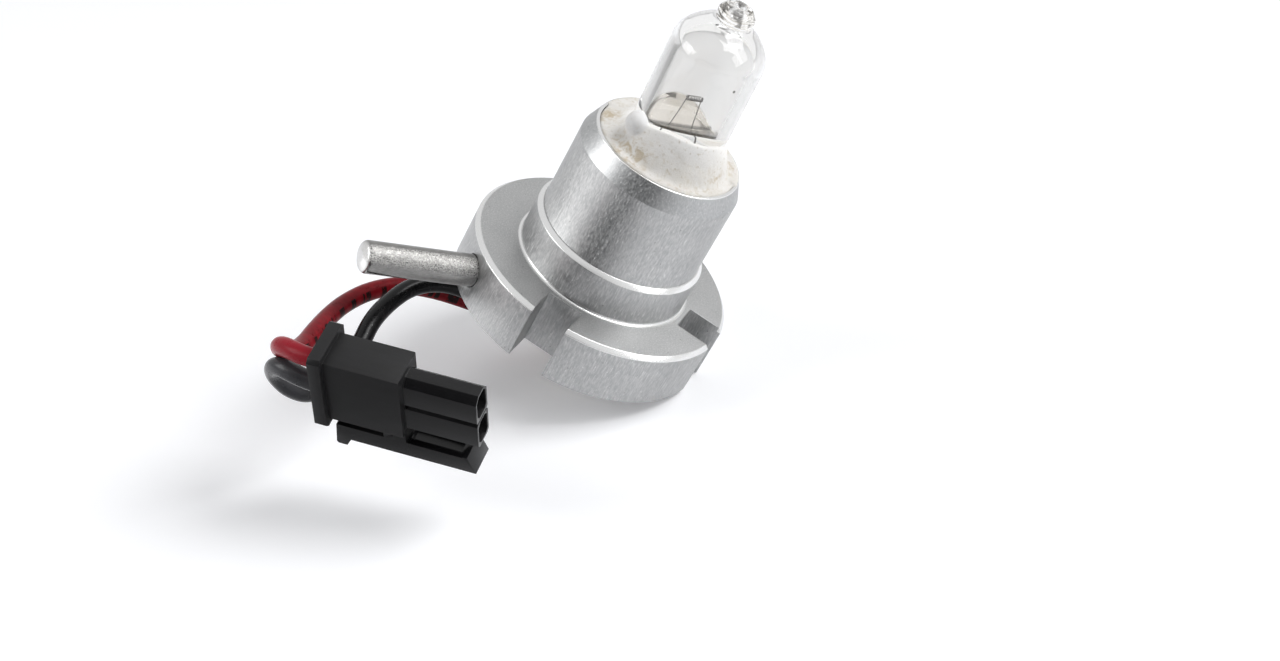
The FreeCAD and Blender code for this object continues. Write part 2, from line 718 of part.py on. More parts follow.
latch_view = new_sketch(plug, "latch_side", "XZ_Plane")
heel = s.collar_length + 0.15
hinge = s.body_end - s.latch_hinge
root = 0.3 - s.body_height / 2
outline(latch_view, [
    (heel + 0.15, s.latch_top), (heel, s.latch_bottom - s.latch_heel + 0.2),
    (heel + 0.15, s.latch_bottom - s.latch_heel), (heel + 0.95, s.latch_bottom - s.latch_heel),
    (heel + 1.35, s.latch_bottom), (s.plug_length - 0.25, s.latch_bottom),
    (s.plug_length - 1.0, s.latch_top + 0.1), (s.plug_length - 1.4, s.latch_top + 0.1),
    (s.plug_length - 1.4, s.latch_top), (s.body_end, s.latch_top),
    (s.body_end, root), (hinge, root), (hinge, s.latch_top),
])
doc.recompute()
both_ways(plug, "Pad", "latch", latch_view, s.latch_width)

key_view = new_sketch(plug, "key_side", "XZ_Plane")
rib_low = s.circuit_lower - s.cell_height / 2 - s.key_depth
rib_end = s.plug_length - 2.7
outline(key_view, [
    (s.body_end - 0.2, rib_low), (rib_end, rib_low),
    (rib_end, rib_low + s.key_depth + 0.3), (s.body_end - 0.2, rib_low + s.key_depth + 0.3),
])
doc.recompute()
both_ways(plug, "Pad", "key", key_view, s.key_width)

window = new_sketch(plug, "window_plan", "XY_Plane", s.latch_top.value)
bind(window, "AttachmentOffset.Base.z", s.latch_top)
window_end = s.plug_length - 1.7
rectangle(window, (s.body_end + window_end) / 2 + 0.2, 0, window_end - s.body_end, s.catch_width)
doc.recompute()
one_way(plug, "Pocket", "catch_window", window, s.latch_window)

throats = new_sketch(plug, "throats", "YZ_Plane")
mouths = new_sketch(plug, "mouths", "YZ_Plane")
for centre in (s.circuit_upper, s.circuit_lower):
    rectangle(throats, 0, centre, s.throat, s.throat)
    rectangle(mouths, 0, centre, s.mouth_width, s.mouth_height)
doc.recompute()
both_ways(plug, "Pocket", "wire_cells", throats, s.throat_depth * 2)
both_ways(plug, "Pocket", "mating_cells", mouths, s.plug_length * 2 + 2)
plug.Placement = plug_place

# Terminals: a square socket with a crimp behind it, one in each cell

terminals = []
forward = FreeCAD.Rotation(V(0, 0, 1), V(1, 0, 0))
for word, centre in (("upper", s.circuit_upper), ("lower", s.circuit_lower)):
    level = centre.value
    start = plug_place * at(s.throat_depth.value, 0, level, forward)
    length = s.plug_length - s.throat_depth - s.socket_recess
    box = block("terminal_box_" + word, s.mouth_height, s.mouth_width, length, start)
    crimp = rod("terminal_crimp_" + word, s.crimp_radius, s.throat_depth - s.wire_stop,
                plug_place * at(s.wire_stop.value, 0, level, forward))
    inside = s.mouth_width - s.socket_wall * 2
    hole = block("terminal_hole_" + word, inside, inside, length,
                 start * at(0, 0, s.socket_wall.value * 4))
    whole = fuse("terminal_whole_" + word, [box, crimp])
    terminals.append(cut("plug_terminal_" + word, whole, hole))

doc.recompute()

# Checks on the model, then one file for each piece

NODES = [holder, lever, front_cement, rear_potting, envelope, filament]
NODES = NODES + foils + contacts + ferrules + sleeves + leads + [plug] + terminals

for thing in doc.Objects:
    if "Invalid" in thing.State or "Error" in thing.State:
        raise RuntimeError(thing.Name + " did not compute: " + str(thing.State))
for thing in NODES:
    shape = thing.Shape
    if shape.isNull() or not shape.isValid() or len(shape.Solids) != 1:
        raise RuntimeError(thing.Label + " is not one valid solid")
    box = shape.BoundBox
    print("%-22s volume %9.3f  x %.2f %.2f  y %.2f %.2f  z %.2f %.2f" % (
        thing.Label, shape.Volume, box.XMin, box.XMax, box.YMin, box.YMax, box.ZMin, box.ZMax))
    shape.exportStep("parts/" + thing.Label + ".step")
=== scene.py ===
"""The looks of a prefocused halogen lamp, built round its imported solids.

Lengths are in mm, and MM turns them into Blender's metres.
"""

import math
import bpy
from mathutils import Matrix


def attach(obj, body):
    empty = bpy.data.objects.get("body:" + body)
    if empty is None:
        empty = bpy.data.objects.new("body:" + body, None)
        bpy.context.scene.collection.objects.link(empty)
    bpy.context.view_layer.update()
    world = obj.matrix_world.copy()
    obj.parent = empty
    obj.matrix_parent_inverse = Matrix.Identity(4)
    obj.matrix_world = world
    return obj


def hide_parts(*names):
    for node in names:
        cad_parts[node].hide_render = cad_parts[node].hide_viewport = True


bl_info = {
    "name": "Halogen lamp",
    "version": (1, 0, 0),
    "blender": (4, 5, 0),
    "location": "View3D > Sidebar > Lamp",
    "description": "Builds a prefocused halogen lamp, its leads and its plug piece by piece",
    "category": "Object",
}

import bpy
from mathutils import Matrix, Vector

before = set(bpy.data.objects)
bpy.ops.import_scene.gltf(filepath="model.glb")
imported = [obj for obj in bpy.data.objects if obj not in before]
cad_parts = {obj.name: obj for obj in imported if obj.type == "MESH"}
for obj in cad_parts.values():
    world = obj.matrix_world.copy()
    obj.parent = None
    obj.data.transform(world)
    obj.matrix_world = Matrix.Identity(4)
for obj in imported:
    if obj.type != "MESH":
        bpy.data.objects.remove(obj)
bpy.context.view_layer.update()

MM = 0.001
Z = Vector((0, 0, 1))

# The table that the lamp lies on: its normal, and its height along that normal
TABLE_UP = Vector((-0.4351, -0.0544, 0.8987)).normalized()
TABLE_HEIGHT = -10.6

# The bulb in its own frame
QUARTZ_RADIUS = 4.34
BODY_TOP = 8.05
GAS_RADIUS = 3.3
GAS_FLOOR = 0.2
CREASE_RISE = 1.4
CREASE_POWER = 1.25
PINCH_TOP = -0.3
PINCH_FOOT = -8.0
PINCH_HALF = 1.6
PINCH_BLEND = 2.5

PIN_RADIUS = 1.5


# Where the groups stand, as the solids have them

def turn(axis, degrees):
    return Matrix.Rotation(math.radians(degrees), 4, axis)


def shift(x, y, z):
    return Matrix.Translation((x * MM, y * MM, z * MM))


def heading(degrees):
    """A level direction, counted from +X."""
    return Vector((math.cos(math.radians(degrees)), math.sin(math.radians(degrees)), 0))


def tip_to(direction):
    """The turn that brings +Z to a direction."""
    return Z.rotation_difference(direction).to_matrix().to_4x4()


BULB = shift(0, 0, 16.5) @ turn(heading(278), 2.2) @ turn("Z", 45)
PLUG = shift(-11.7, -30.7, -4.5) @ turn("Z", 4.2) @ turn("Y", -20.0) @ turn("X", 17.2)
PIN_HEADING = heading(-135.6)
PIN = Matrix.Translation(PIN_HEADING * 8.2 * MM + Vector((0, 0, -2.8 * MM))) @ tip_to(PIN_HEADING)


# Modelling in edit mode

def clear():
    """Leave edit mode and select nothing."""
    if bpy.context.object and bpy.context.object.mode != "OBJECT":
        done()
    bpy.ops.object.select_all(action="DESELECT")


def pick(obj):
    clear()
    obj.select_set(True)
    bpy.context.view_layer.objects.active = obj


def take_all():
    bpy.ops.mesh.select_all(action="SELECT")


def edit(obj):
    """Enter edit mode with the whole mesh selected."""
    pick(obj)
    bpy.ops.object.mode_set(mode="EDIT")
    take_all()


def done():
    bpy.ops.object.mode_set(mode="OBJECT")


def weld():
    """Merge the doubled vertices of the whole mesh."""
    take_all()
    bpy.ops.mesh.remove_doubles(threshold=0.002 * MM)


def face_out():
    """Turn every normal outwards and leave edit mode."""
    take_all()
    bpy.ops.mesh.normals_make_consistent(inside=False)
    done()


def face_in(obj):
    """Make the skin of a hollow of a closed form."""
    edit(obj)
    bpy.ops.mesh.flip_normals()
    done()


def add(name, data):
    """A new object in the scene."""
    obj = bpy.data.objects.new(name, data)
    bpy.context.scene.collection.objects.link(obj)
    return obj


def named(name):
    """The object just added, with its name."""
    obj = bpy.context.object
    obj.name = name
    obj.data.name = name
    return obj


def chain(name, line):
    """One edge chain through points, drawn by extruding a vertex from point to point."""
    clear()
    bpy.ops.mesh.primitive_plane_add(size=MM)
    obj = named(name)
    bpy.ops.object.mode_set(mode="EDIT")
    bpy.context.tool_settings.mesh_select_mode = (True, False, False)
    take_all()
    bpy.ops.mesh.merge(type="CENTER")
    take_all()
    spot = Vector(line[0])
    bpy.ops.transform.translate(value=spot * MM)
    for point in line[1:]:
        step = Vector(point) - spot
        spot = Vector(point)
        bpy.ops.mesh.extrude_vertices_move(TRANSFORM_OT_translate={"value": step * MM})
    return obj


def rounded(corners, steps=5, closed=False):
    """Points (a, b), each with an optional third number: the radius its corner is rounded to."""
    line = []
    count = len(corners)
    for i, corner in enumerate(corners):
        here = Vector(corner[:2])
        radius = corner[2] if len(corner) > 2 else 0
        inside = closed or 0 < i < count - 1
        if not radius or not inside:
            line.append(here)
            continue
        back = (Vector(corners[i - 1][:2]) - here).normalized()
        ahead = (Vector(corners[(i + 1) % count][:2]) - here).normalized()
        half = back.angle(ahead) / 2
        reach = radius / math.tan(half)
        centre = here + (back + ahead).normalized() * (radius / math.sin(half))
        start = here + back * reach - centre
        stop = here + ahead * reach - centre
        swing = start.angle(stop)
        side = 1 if start.x * stop.y - start.y * stop.x > 0 else -1
        for k in range(steps + 1):
            a = side * swing * k / steps
            across = start.x * math.cos(a) - start.y * math.sin(a)
            along = start.x * math.sin(a) + start.y * math.cos(a)
            line.append(centre + Vector((across, along)))
    return line


def lathe(name, line, steps):
    """Spin a half section, points (radius, height), a full turn about Z."""
    obj = chain(name, [(p[0], 0, p[1]) for p in line])
    take_all()
    bpy.ops.mesh.spin(steps=steps, angle=2 * math.pi, center=(0, 0, 0), axis=(0, 0, 1))
    weld()
    face_out()
    return obj


def prism(name, outline, low, high):
    """A closed outline of points (x, z), filled and extruded along Y from low to high."""
    obj = chain(name, [(p[0], low, p[1]) for p in outline + outline[:1]])
    weld()
    take_all()
    bpy.ops.mesh.edge_face_add()
    take_all()
    bpy.ops.mesh.extrude_region_move(TRANSFORM_OT_translate={"value": (0, (high - low) * MM, 0)})
    face_out()
    return obj


def brick(name, low, high):
    """A cuboid between two corners."""
    low, high = Vector(low) * MM, Vector(high) * MM
    clear()
    bpy.ops.mesh.primitive_cube_add(size=1, location=(low + high) / 2, scale=high - low)
    obj = named(name)
    bpy.ops.object.transform_apply(location=True, rotation=True, scale=True)
    return obj


def ball(name, radius, centre, segments, height=1):
    """A sphere, or a flatter one where its height is below 1."""
    clear()
    bpy.ops.mesh.primitive_uv_sphere_add(
        segments=segments, ring_count=segments // 2, radius=radius * MM,
        location=[c * MM for c in centre], scale=(1, 1, height))
    obj = named(name)
    bpy.ops.object.transform_apply(location=True, rotation=True, scale=True)
    return obj


def bevel(obj, test, width, segments=1):
    """Bevel the edges whose middle and direction pass a test."""
    mesh = obj.data
    for layer in (mesh.vertices, mesh.edges, mesh.polygons):
        for item in layer:
            item.select = False
    for line in mesh.edges:
        a, b = (mesh.vertices[i].co / MM for i in line.vertices)
        line.select = test((a + b) / 2, (b - a).normalized())
    if not any(line.select for line in mesh.edges):
        raise RuntimeError(obj.name + ": no edge to bevel there")
    pick(obj)
    bpy.context.tool_settings.mesh_select_mode = (False, True, False)
    bpy.ops.object.mode_set(mode="EDIT")
    bpy.ops.mesh.bevel(offset=width * MM, segments=segments, affect="EDGES", offset_type="OFFSET")
    done()


def along_x(mid, way):
    return abs(way.x) > 0.9


def apply(obj, kind, **settings):
    """Add a modifier, set it and apply it."""
    pick(obj)
    modifier = obj.modifiers.new(kind.title(), kind)
    for key, value in settings.items():
        setattr(modifier, key, value)
    bpy.ops.object.modifier_apply(modifier=modifier.name)


def carve(obj, tool, operation="DIFFERENCE"):
    apply(obj, "BOOLEAN", operation=operation, solver="EXACT", object=tool)
    bpy.data.objects.remove(tool)


def soften(obj, width, angle):
    """Round every edge sharper than an angle a little, so that it catches the light."""
    apply(obj, "BEVEL", width=width * MM, segments=2, limit_method="ANGLE",
          angle_limit=math.radians(angle), harden_normals=False, use_clamp_overlap=True)


def smooth(obj, angle):
    pick(obj)
    bpy.ops.object.shade_smooth_by_angle(angle=math.radians(angle))


def place(obj, matrix):
    """Move a piece to its place and leave its object at the origin."""
    pick(obj)
    obj.matrix_world = matrix
    bpy.ops.object.transform_apply(location=True, rotation=True, scale=True)
    return obj


def nurbs(name, points, resolution):
    """A curve object that points control."""
    curve = bpy.data.curves.new(name, "CURVE")
    curve.dimensions = "3D"
    curve.resolution_u = resolution
    spline = curve.splines.new("NURBS")
    spline.points.add(len(points) - 1)
    for point, spot in zip(spline.points, points):
        point.co = (*(Vector(spot) * MM), 1)
    spline.order_u = 3
    spline.use_endpoint_u = True
    return add(name, curve)


def dress(obj, finish):
    obj.data.materials.clear()
    obj.data.materials.append(finish)


def ready(obj, slot, finish, *nodes):
    """Give a piece its finish, let it ride and hide the nodes it stands for."""
    dress(obj, finish)
    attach(obj, "root")
    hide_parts(*nodes)


def arc_line(radius, start, rise, shoulder, steps=12):
    """Shoulder and crown of a dome, as points (radius, height)."""
    inset = radius - shoulder
    crown = (inset ** 2 + rise ** 2 - shoulder ** 2) / (2 * (rise - shoulder))
    low = start + rise - crown
    lean = math.atan2(start - low, inset)
    line = []
    for k in range(steps + 1):
        a = lean * k / steps
        line.append((inset + shoulder * math.cos(a), start + shoulder * math.sin(a)))
    for k in range(1, 2 * steps + 1):
        a = lean + (math.pi / 2 - lean) * k / (2 * steps)
        line.append((crown * math.cos(a), low + crown * math.sin(a)))
    line[-1] = (0, start + rise)
    return line


def glass_form(name, grow):
    """The outside of the quartz, grown by a little: pressed pinch, round body, dome and sealed tip."""
    radius = QUARTZ_RADIUS + grow
    foot = PINCH_FOOT - grow
    dome = [p for p in arc_line(radius, BODY_TOP, 3.45, 2.2) if p[0] > 1.85]
    tip = [(1.64, 11.38, 0.15), (1.79, 12.15, 0.75), (1.15, 12.86, 0.4), (0.62, 12.82, 0.2),
           (0.35, 12.5, 0.2), (0, 12.48)]
    line = [(0, foot), (radius, foot)] + [(radius, PINCH_FOOT + 0.25 * k) for k in range(1, 64)]
    line += dome + rounded(dome[-1:] + tip, 7)[1:]
    obj = lathe(name, line, 160)
    for point in obj.data.vertices:
        x, y, z = point.co / MM
        if z < PINCH_TOP:
            t = min(1.0, (PINCH_TOP - z) / PINCH_BLEND)
            limit = radius + (PINCH_HALF + grow - radius) * t * t * (3 - 2 * t)
            if abs(y) > limit:
                point.co = Vector((x, math.copysign(limit, y), z)) * MM
    return place(obj, BULB)


# Materials

class Value:
    """A shader socket that takes part in ordinary arithmetic."""

    def __init__(self, finish, socket):
        self.finish = finish
        self.socket = socket

    def math(self, operation, *others):
        return self.finish.node("ShaderNodeMath", {"operation": operation}, self, *others)

    def __add__(self, other):
        return self.math("ADD", other)

    def __sub__(self, other):
        return self.math("SUBTRACT", other)

    def __rsub__(self, other):
        return self.finish.node("ShaderNodeMath", {"operation": "SUBTRACT"}, other, self)

    def __mul__(self, other):
        return self.math("MULTIPLY", other)

    def __truediv__(self, other):
        return self.math("DIVIDE", other)

    def __neg__(self):
        return self.math("MULTIPLY", -1.0)

    def __abs__(self):
        return self.math("ABSOLUTE")

    def __or__(self, other):
        """The larger of two."""
        return self.math("MAXIMUM", other)

    __radd__ = __add__
    __rmul__ = __mul__

    def between(self, low, high):
        """0 below low, 1 above high, smooth in the middle."""
        return self.finish.node(
            "ShaderNodeMapRange", {"interpolation_type": "SMOOTHSTEP"}, self, low, high, 0.0, 1.0)

    def until(self, low, high):
        """1 below low, 0 above high, smooth in the middle."""
        return 1 - self.between(low, high)


class Finish:
    """One procedural material and its main shader."""

    def __init__(self, name, **constants):
        self.material = bpy.data.materials.new(name)
        self.begin("ShaderNodeOutputMaterial", "ShaderNodeBsdfPrincipled")
        for key, value in constants.items():
            self.shader.inputs[key.replace("_", " ")].default_value = value

    def begin(self, output, shader):
        """Start an empty tree with an output and a shader."""
        self.material.use_nodes = True
        self.tree = self.material.node_tree
        self.tree.nodes.clear()
        self.output = self.tree.nodes.new(output)
        self.shader = self.tree.nodes.new(shader)
        self.surface = Value(self, self.shader.outputs[0])
        self.show(self.surface)

    def show(self, surface):
        self.tree.links.new(surface.socket, self.output.inputs["Surface"])

    def node(self, kind, settings, *values, out=0, **named_values):
        """Any node: its settings first, then the values or links of its sockets in order or by name."""
        made = self.tree.nodes.new(kind)
        for key, value in settings.items():
            if key == "stops":
                ramp = made.color_ramp
                for stop in value[2:]:
                    ramp.elements.new(stop[0])
                for element, (spot, tone) in zip(ramp.elements, sorted(value, key=lambda stop: stop[0])):
                    element.position = spot
                    element.color = (*tone, 1)
            else:
                setattr(made, key, value)
        sockets = [s for s in made.inputs if s.enabled]
        pairs = list(zip(sockets, values))
        for key, value in named_values.items():
            pairs.append((next(s for s in sockets if s.name == key.replace("_", " ")), value))
        for socket, value in pairs:
            if isinstance(value, Value):
                self.tree.links.new(value.socket, socket)
            else:
                socket.default_value = value
        live = [s for s in made.outputs if s.enabled]
        return Value(self, live[out] if isinstance(out, int) else made.outputs[out])

    def mapping(self, vector, move, spin, scale):
        return self.node("ShaderNodeMapping", {"vector_type": "POINT"},
                         vector, tuple(move), tuple(spin), tuple(scale))

    def place(self, matrix=None, stretch=(1, 1, 1)):
        """Object coordinates in mm, in a piece's own frame, stretched along its axes."""
        spot = self.node("ShaderNodeTexCoord", {}, out="Object")
        if matrix is not None:
            back = matrix.inverted()
            spot = self.mapping(spot, back.translation, back.to_euler("XYZ"), (1, 1, 1))
        return self.mapping(spot, (0, 0, 0), (0, 0, 0), (1000 * s for s in stretch))

    def parts(self, vector):
        made = self.tree.nodes.new("ShaderNodeSeparateXYZ")
        self.tree.links.new(vector.socket, made.inputs[0])
        return [Value(self, socket) for socket in made.outputs]

    def ray(self, kind):
        return self.node("ShaderNodeLightPath", {}, out=kind)

    def noise(self, vector, scale, detail, rough, distortion=0.0):
        return self.node("ShaderNodeTexNoise", {}, Vector=vector, Scale=scale, Detail=detail,
                         Roughness=rough, Distortion=distortion)

    def grooves(self, along, scale):
        """Noise that changes along one value only."""
        return self.node("ShaderNodeTexNoise", {"noise_dimensions": "1D"}, W=along, Scale=scale, Detail=2.0)

    def cells(self, vector, scale):
        return self.node("ShaderNodeTexVoronoi", {}, Vector=vector, Scale=scale)

    def away(self, vector, spot):
        """How far it is to a spot."""
        return self.node("ShaderNodeVectorMath", {"operation": "DISTANCE"}, vector, spot)

    def ramp(self, value, *stops):
        return self.node("ShaderNodeValToRGB", {"stops": list(stops)}, value)

    def layers(self, base, *coats):
        """Lay colours over a base colour, each by its own amount."""
        for amount, tone in coats:
            made = self.tree.nodes.new("ShaderNodeMix")
            made.data_type = "RGBA"
            self.tree.links.new(amount.socket, made.inputs[0])
            for socket, value in ((made.inputs[6], base), (made.inputs[7], tone)):
                if isinstance(value, Value):
                    self.tree.links.new(value.socket, socket)
                else:
                    socket.default_value = (*value[:3], 1)
            base = Value(self, made.outputs[2])
        return base

    def set(self, **links):
        for key, value in links.items():
            self.tree.links.new(value.socket, self.shader.inputs[key.replace("_", " ")])

    def let_through(self, surface, amount):
        """Show a surface, but let rays pass straight through it where amount is 1."""
        nothing = self.node("ShaderNodeBsdfTransparent", {})
        self.show(self.node("ShaderNodeMixShader", {}, amount, surface, nothing))

    def bump(self, height, distance, strength):
        """Height in units of distance."""
        return self.node("ShaderNodeBump", {}, Strength=strength, Distance=distance * MM, Height=height)


class Room(Finish):
    """The world round the part, made of nodes as a finish is."""

    def __init__(self, name):
        self.material = bpy.data.worlds.new(name)
        self.begin("ShaderNodeOutputWorld", "ShaderNodeBackground")


def from_axis(x, y):
    """How far a place is from the Z axis."""
    return (x * x + y * y).math("SQRT")


def slot_floor(across, out):
    """1 on the milled floor of a slot, from where a place is across the slot and outwards."""
    return abs(across).until(1.70, 1.76) * out.between(8.90, 8.96) * out.until(9.04, 9.10)


def turned_aluminium():
    """Satin aluminium off the lathe, drawn lengthwise with a cloth and handled since."""
    f = Finish("turned_aluminium", Metallic=1.0, IOR=1.5)
    x, y, z = f.parts(f.place())
    radius = from_axis(x, y)
    long_grain = f.noise(f.place(stretch=(1, 1, 0.22)), 7.5, 3.0, 0.66)
    fine_grain = f.noise(f.place(stretch=(1, 1, 0.4)), 19.0, 2.0, 0.6)
    cloud = f.noise(f.place(), 0.35, 3.0, 0.6)
    turning = f.grooves(radius, 7.0) * 0.16 + f.grooves(z, 9.0) * 0.16
    nose = z.between(12.2, 12.4)
    unpitted = f.cells(f.place(), 0.9).between(0.0, 0.09)
    streak = long_grain.between(0.32, 0.72)
    tone = streak * 0.55 + fine_grain * 0.3 + cloud * 0.35
    # Painted highlights on the edges: the ledge, the flange's rim, the boss's foot and the nose's lip
    ledge = z.between(3.76, 3.84) * z.until(4.22, 4.26) * radius.between(7.84, 7.92)
    rim = radius.between(12.22, 12.34) * z.between(-0.48, -0.38)
    root = radius.until(8.55, 8.62) * z.between(-0.03, 0.01) * z.until(0.2, 0.3)
    lip = z.between(13.98, 14.06)
    painted_edge_highlight = ledge | rim | root | lip
    slot = slot_floor(x, -y) * z.until(-0.2, -0.1)
    tooth = f.noise(f.place(stretch=(1, 1, 0.14)), 6.0, 4.0, 0.75).between(0.42, 0.60)
    # Short bright flecks: scratches in the bump, painted glints in the colour
    scratch_glint = f.noise(f.place(stretch=(1, 1, 0.25)), 7.5, 3.0, 0.72).between(0.58, 0.68)
    face = radius.between(8.55, 8.7) * z.between(-0.05, -0.02)
    metal = f.layers(
        f.ramp(tone, (0.2, (0.36, 0.365, 0.37)), (1.0, (0.62, 0.62, 0.615))),
        (nose * 0.32, (0.36, 0.37, 0.38)),
        ((1 - unpitted) * 0.75, (0.12, 0.115, 0.11)),
        # the flecks painted pale: painted glints
        (scratch_glint * 0.45, (0.86, 0.86, 0.85)),
        (slot * tooth * 0.3, (0.22, 0.22, 0.22)),
        (face * 0.16, (0.20, 0.20, 0.20)),
        # The floor of the slot on +X darkened: painted shade in the recess
        (slot_floor(y, x) * 0.55, (0.18, 0.18, 0.18)),
        # the painted highlight on those edges
        (painted_edge_highlight * 0.97, (0.84, 0.84, 0.835)))
    dull = (streak * 0.12 + cloud * 0.1) * (1 - painted_edge_highlight * 0.9)
    height = long_grain * 0.5 + fine_grain * 0.35 + turning
    height = height + unpitted * 0.6 + scratch_glint * 0.5 + slot * tooth * 0.8
    f.set(Base_Color=metal,
          Roughness=(0.30 + dull + slot * 0.1 + (1 - unpitted) * 0.25) * (1 - painted_edge_highlight * 0.25),
          Normal=f.bump((height - 0.8) * (1 - painted_edge_highlight * 0.95), 0.018, 0.6))
    return f.material


def pin_steel():
    """Ground steel pin, dulled, with a grainy highlight painted along one side and its rounded end painted paler.
    """
    f = Finish("pin_steel", Metallic=1.0)
    here = f.place(PIN)
    x, y, z = f.parts(here)
    grain = f.noise(f.place(PIN, (1, 1, 0.22)), 9.0, 3.0, 0.65)
    specks = f.noise(here, 9.0, 3.0, 0.7).between(0.42, 0.60)
    cloud = f.noise(here, 0.8, 2.0, 0.5)
    # A painted highlight: grainy bright specks in a streak along one side
    streak = specks * (x * 0.663 + y * 0.075).between(0.72, 0.94)
    tone = grain * 0.5 + streak * 0.5 + cloud * 0.25 + 0.05
    steel = f.ramp(tone, (0.25, (0.17, 0.168, 0.164)), (0.95, (0.58, 0.572, 0.555)))
    # the rounded end painted paler
    f.set(Base_Color=f.layers(steel, (z.between(14.9, 15.3) * 0.8, (0.86, 0.85, 0.84))),
          Roughness=0.20 + streak * 0.14 + cloud * 0.08,
          Normal=f.bump(grain * 0.35 + streak * 1.1, 0.022, 0.8))
    return f.material


def lamp_cement(clean_tone):
    """Cream cement, cast by hand: grainy, stained where the heat has browned it, with a glazed bead."""
    f = Finish("lamp_cement", Roughness=0.85, IOR=1.45)
    here = f.place()
    x, y = f.parts(here)[:2]
    scorch = 0.0
    for spot, reach in (((-1.9, -4.9, 14.4), 2.2), ((3.2, -5.2, 14.4), 0.6), ((4.4, -1.6, 14.4), 1.7),
                        ((-5.6, -1.5, 14.4), 1.4), ((4.9, 2.4, 14.4), 1.2)):
        scorch = f.away(here, spot).until(reach * 0.25, reach * 1.25) + scorch
    scorch = scorch * f.noise(here, 1.5, 5.0, 0.74, 0.5).between(0.42, 0.62)
    # Paler cement round the glass: partly its own colour, partly painted light on the shaded steep fillet
    paler_and_painted_light = from_axis(x, y).until(4.5, 5.6)
    glaze = f.away(here, (-2.88, -3.43, 16.3)).until(0.95, 1.45)
    cloud = f.noise(here, 0.33, 3.0, 0.55, 0.4)
    blotch = f.noise(here, 1.5, 4.0, 0.66, 0.4).between(0.50, 0.70)
    freckle = f.noise(here, 2.6, 3.0, 0.6).between(0.58, 0.74)
    grain = f.noise(here, 9.0, 3.0, 0.7)
    cast = f.layers(
        clean_tone,
        (cloud.between(0.35, 0.7), (0.68, 0.655, 0.61)),
        (blotch * 0.45, (0.50, 0.43, 0.31)),
        (scorch.math("MINIMUM", 1.0) * 0.66, (0.42, 0.32, 0.18)),
        (paler_and_painted_light * 0.85, (0.91, 0.90, 0.88)),
        (freckle * 0.45, (0.42, 0.35, 0.24)),
        (grain.between(0.55, 0.72) * 0.30, (0.40, 0.37, 0.31)),
        (glaze * 0.9, (0.80, 0.81, 0.83)))
    f.set(Base_Color=cast,
          Roughness=0.72 + grain * 0.2 - glaze * 0.45,
          Normal=f.bump((grain * 0.8 + cloud * 1.4) * (1 - glaze * 0.8), 0.08, 0.6))
    return f.material


def potting():
    """Grey-cream potting, cast and wiped."""
    f = Finish("potting", IOR=1.45)
    here = f.place()
    cloud = f.noise(here, 0.5, 3.0, 0.6, 0.5)
    grain = f.noise(here, 8.0, 3.0, 0.7)
    f.set(Base_Color=f.ramp(cloud * 0.8 + grain * 0.2, (0.3, (0.50, 0.46, 0.39)), (0.75, (0.66, 0.63, 0.56))),
          Roughness=0.7 + grain * 0.2,
          Normal=f.bump(grain * 0.6 + cloud * 1.6, 0.08, 0.6))
    return f.material


def quartz(tint):
    """Clear fused quartz with faint draw lines, browner on the floor of its gas space, painted shade along that
    floor's crease and rim, dark reflections painted into its tip, and one speck.

    Shadow and diffuse rays go straight through, and so do rays that are trapped in the glass.
    """
    f = Finish("quartz", Roughness=0.0, IOR=1.458, Alpha=1.0, Transmission_Weight=1.0)
    here = f.place(BULB)
    x, y, z = f.parts(here)
    radius = from_axis(x, y)
    brown = f.noise(here, 0.22, 2.0, 0.5).between(0.45, 0.75)
    # The creased floor of the gas space, as high as the piece has it
    floor = abs(y).math("POWER", CREASE_POWER) * 0.315 + GAS_FLOOR
    off_floor = abs(z - floor)
    # Painted shade: dark lines along the crease and the rim of the gas space's floor, the rim on the nearer side
    # only
    rim = radius.between(2.85, 3.1) * radius.until(3.4, 3.5) * off_floor.until(0.2, 0.45)
    valley = abs(y).until(0.12, 0.40) * z.until(0.4, 0.6) * radius.until(3.35, 3.45) * z.between(0.0, 0.1)
    nearer = (x * -0.63 - y * 0.78).between(-1.6, 0.2)
    painted_crease_shade = (rim * nearer | valley * 0.85) * f.noise(here, 1.3, 3.0, 0.6).between(0.10, 0.34)
    bottom = off_floor.until(0.05, 0.2) * radius.until(3.25, 3.35)
    # Painted dark reflections in the tip
    painted_tip_reflection = f.noise(here, 0.75, 2.0, 0.5).between(0.52, 0.60) * z.between(11.3, 11.6)
    speck = f.away(here, (0.26, -4.33, 7.03)).until(0.10, 0.16)
    glass = f.layers(
        tint,
        (brown * 0.5, (0.965, 0.94, 0.915)),
        (bottom * 0.8, (0.46, 0.41, 0.345)),
        (painted_crease_shade, (0.012, 0.009, 0.005)),
        (painted_tip_reflection * 0.9, (0.05, 0.045, 0.04)),
        (speck, (0.04, 0.035, 0.03)))
    waves = f.noise(f.place(BULB, (1, 1, 0.12)), 0.9, 1.0, 0.4)
    f.set(Base_Color=glass, Normal=f.bump(waves, 0.02, 0.35))
    trapped = (f.ray("Ray Depth") - z.between(8.9, 10.0) * 3.0).math("GREATER_THAN", 3.5)
    f.let_through(f.surface, f.ray("Is Shadow Ray") | f.ray("Is Diffuse Ray") | trapped)
    return f.material


def drawn_metal(name, dark, pale, roughness, home, scale=6.0):
    """Drawn or plated metal with fine lengthwise scratches."""
    f = Finish(name, Metallic=1.0)
    grain = f.noise(f.place(home, (1, 1, 0.2)), scale, 3.0, 0.6)
    cloud = f.noise(f.place(home), 0.9, 2.0, 0.5)
    f.set(Base_Color=f.ramp(grain * 0.6 + cloud * 0.4, (0.3, dark), (0.72, pale)),
          Roughness=roughness + cloud * 0.14,
          Normal=f.bump(grain, 0.006, 0.4))
    return f.material


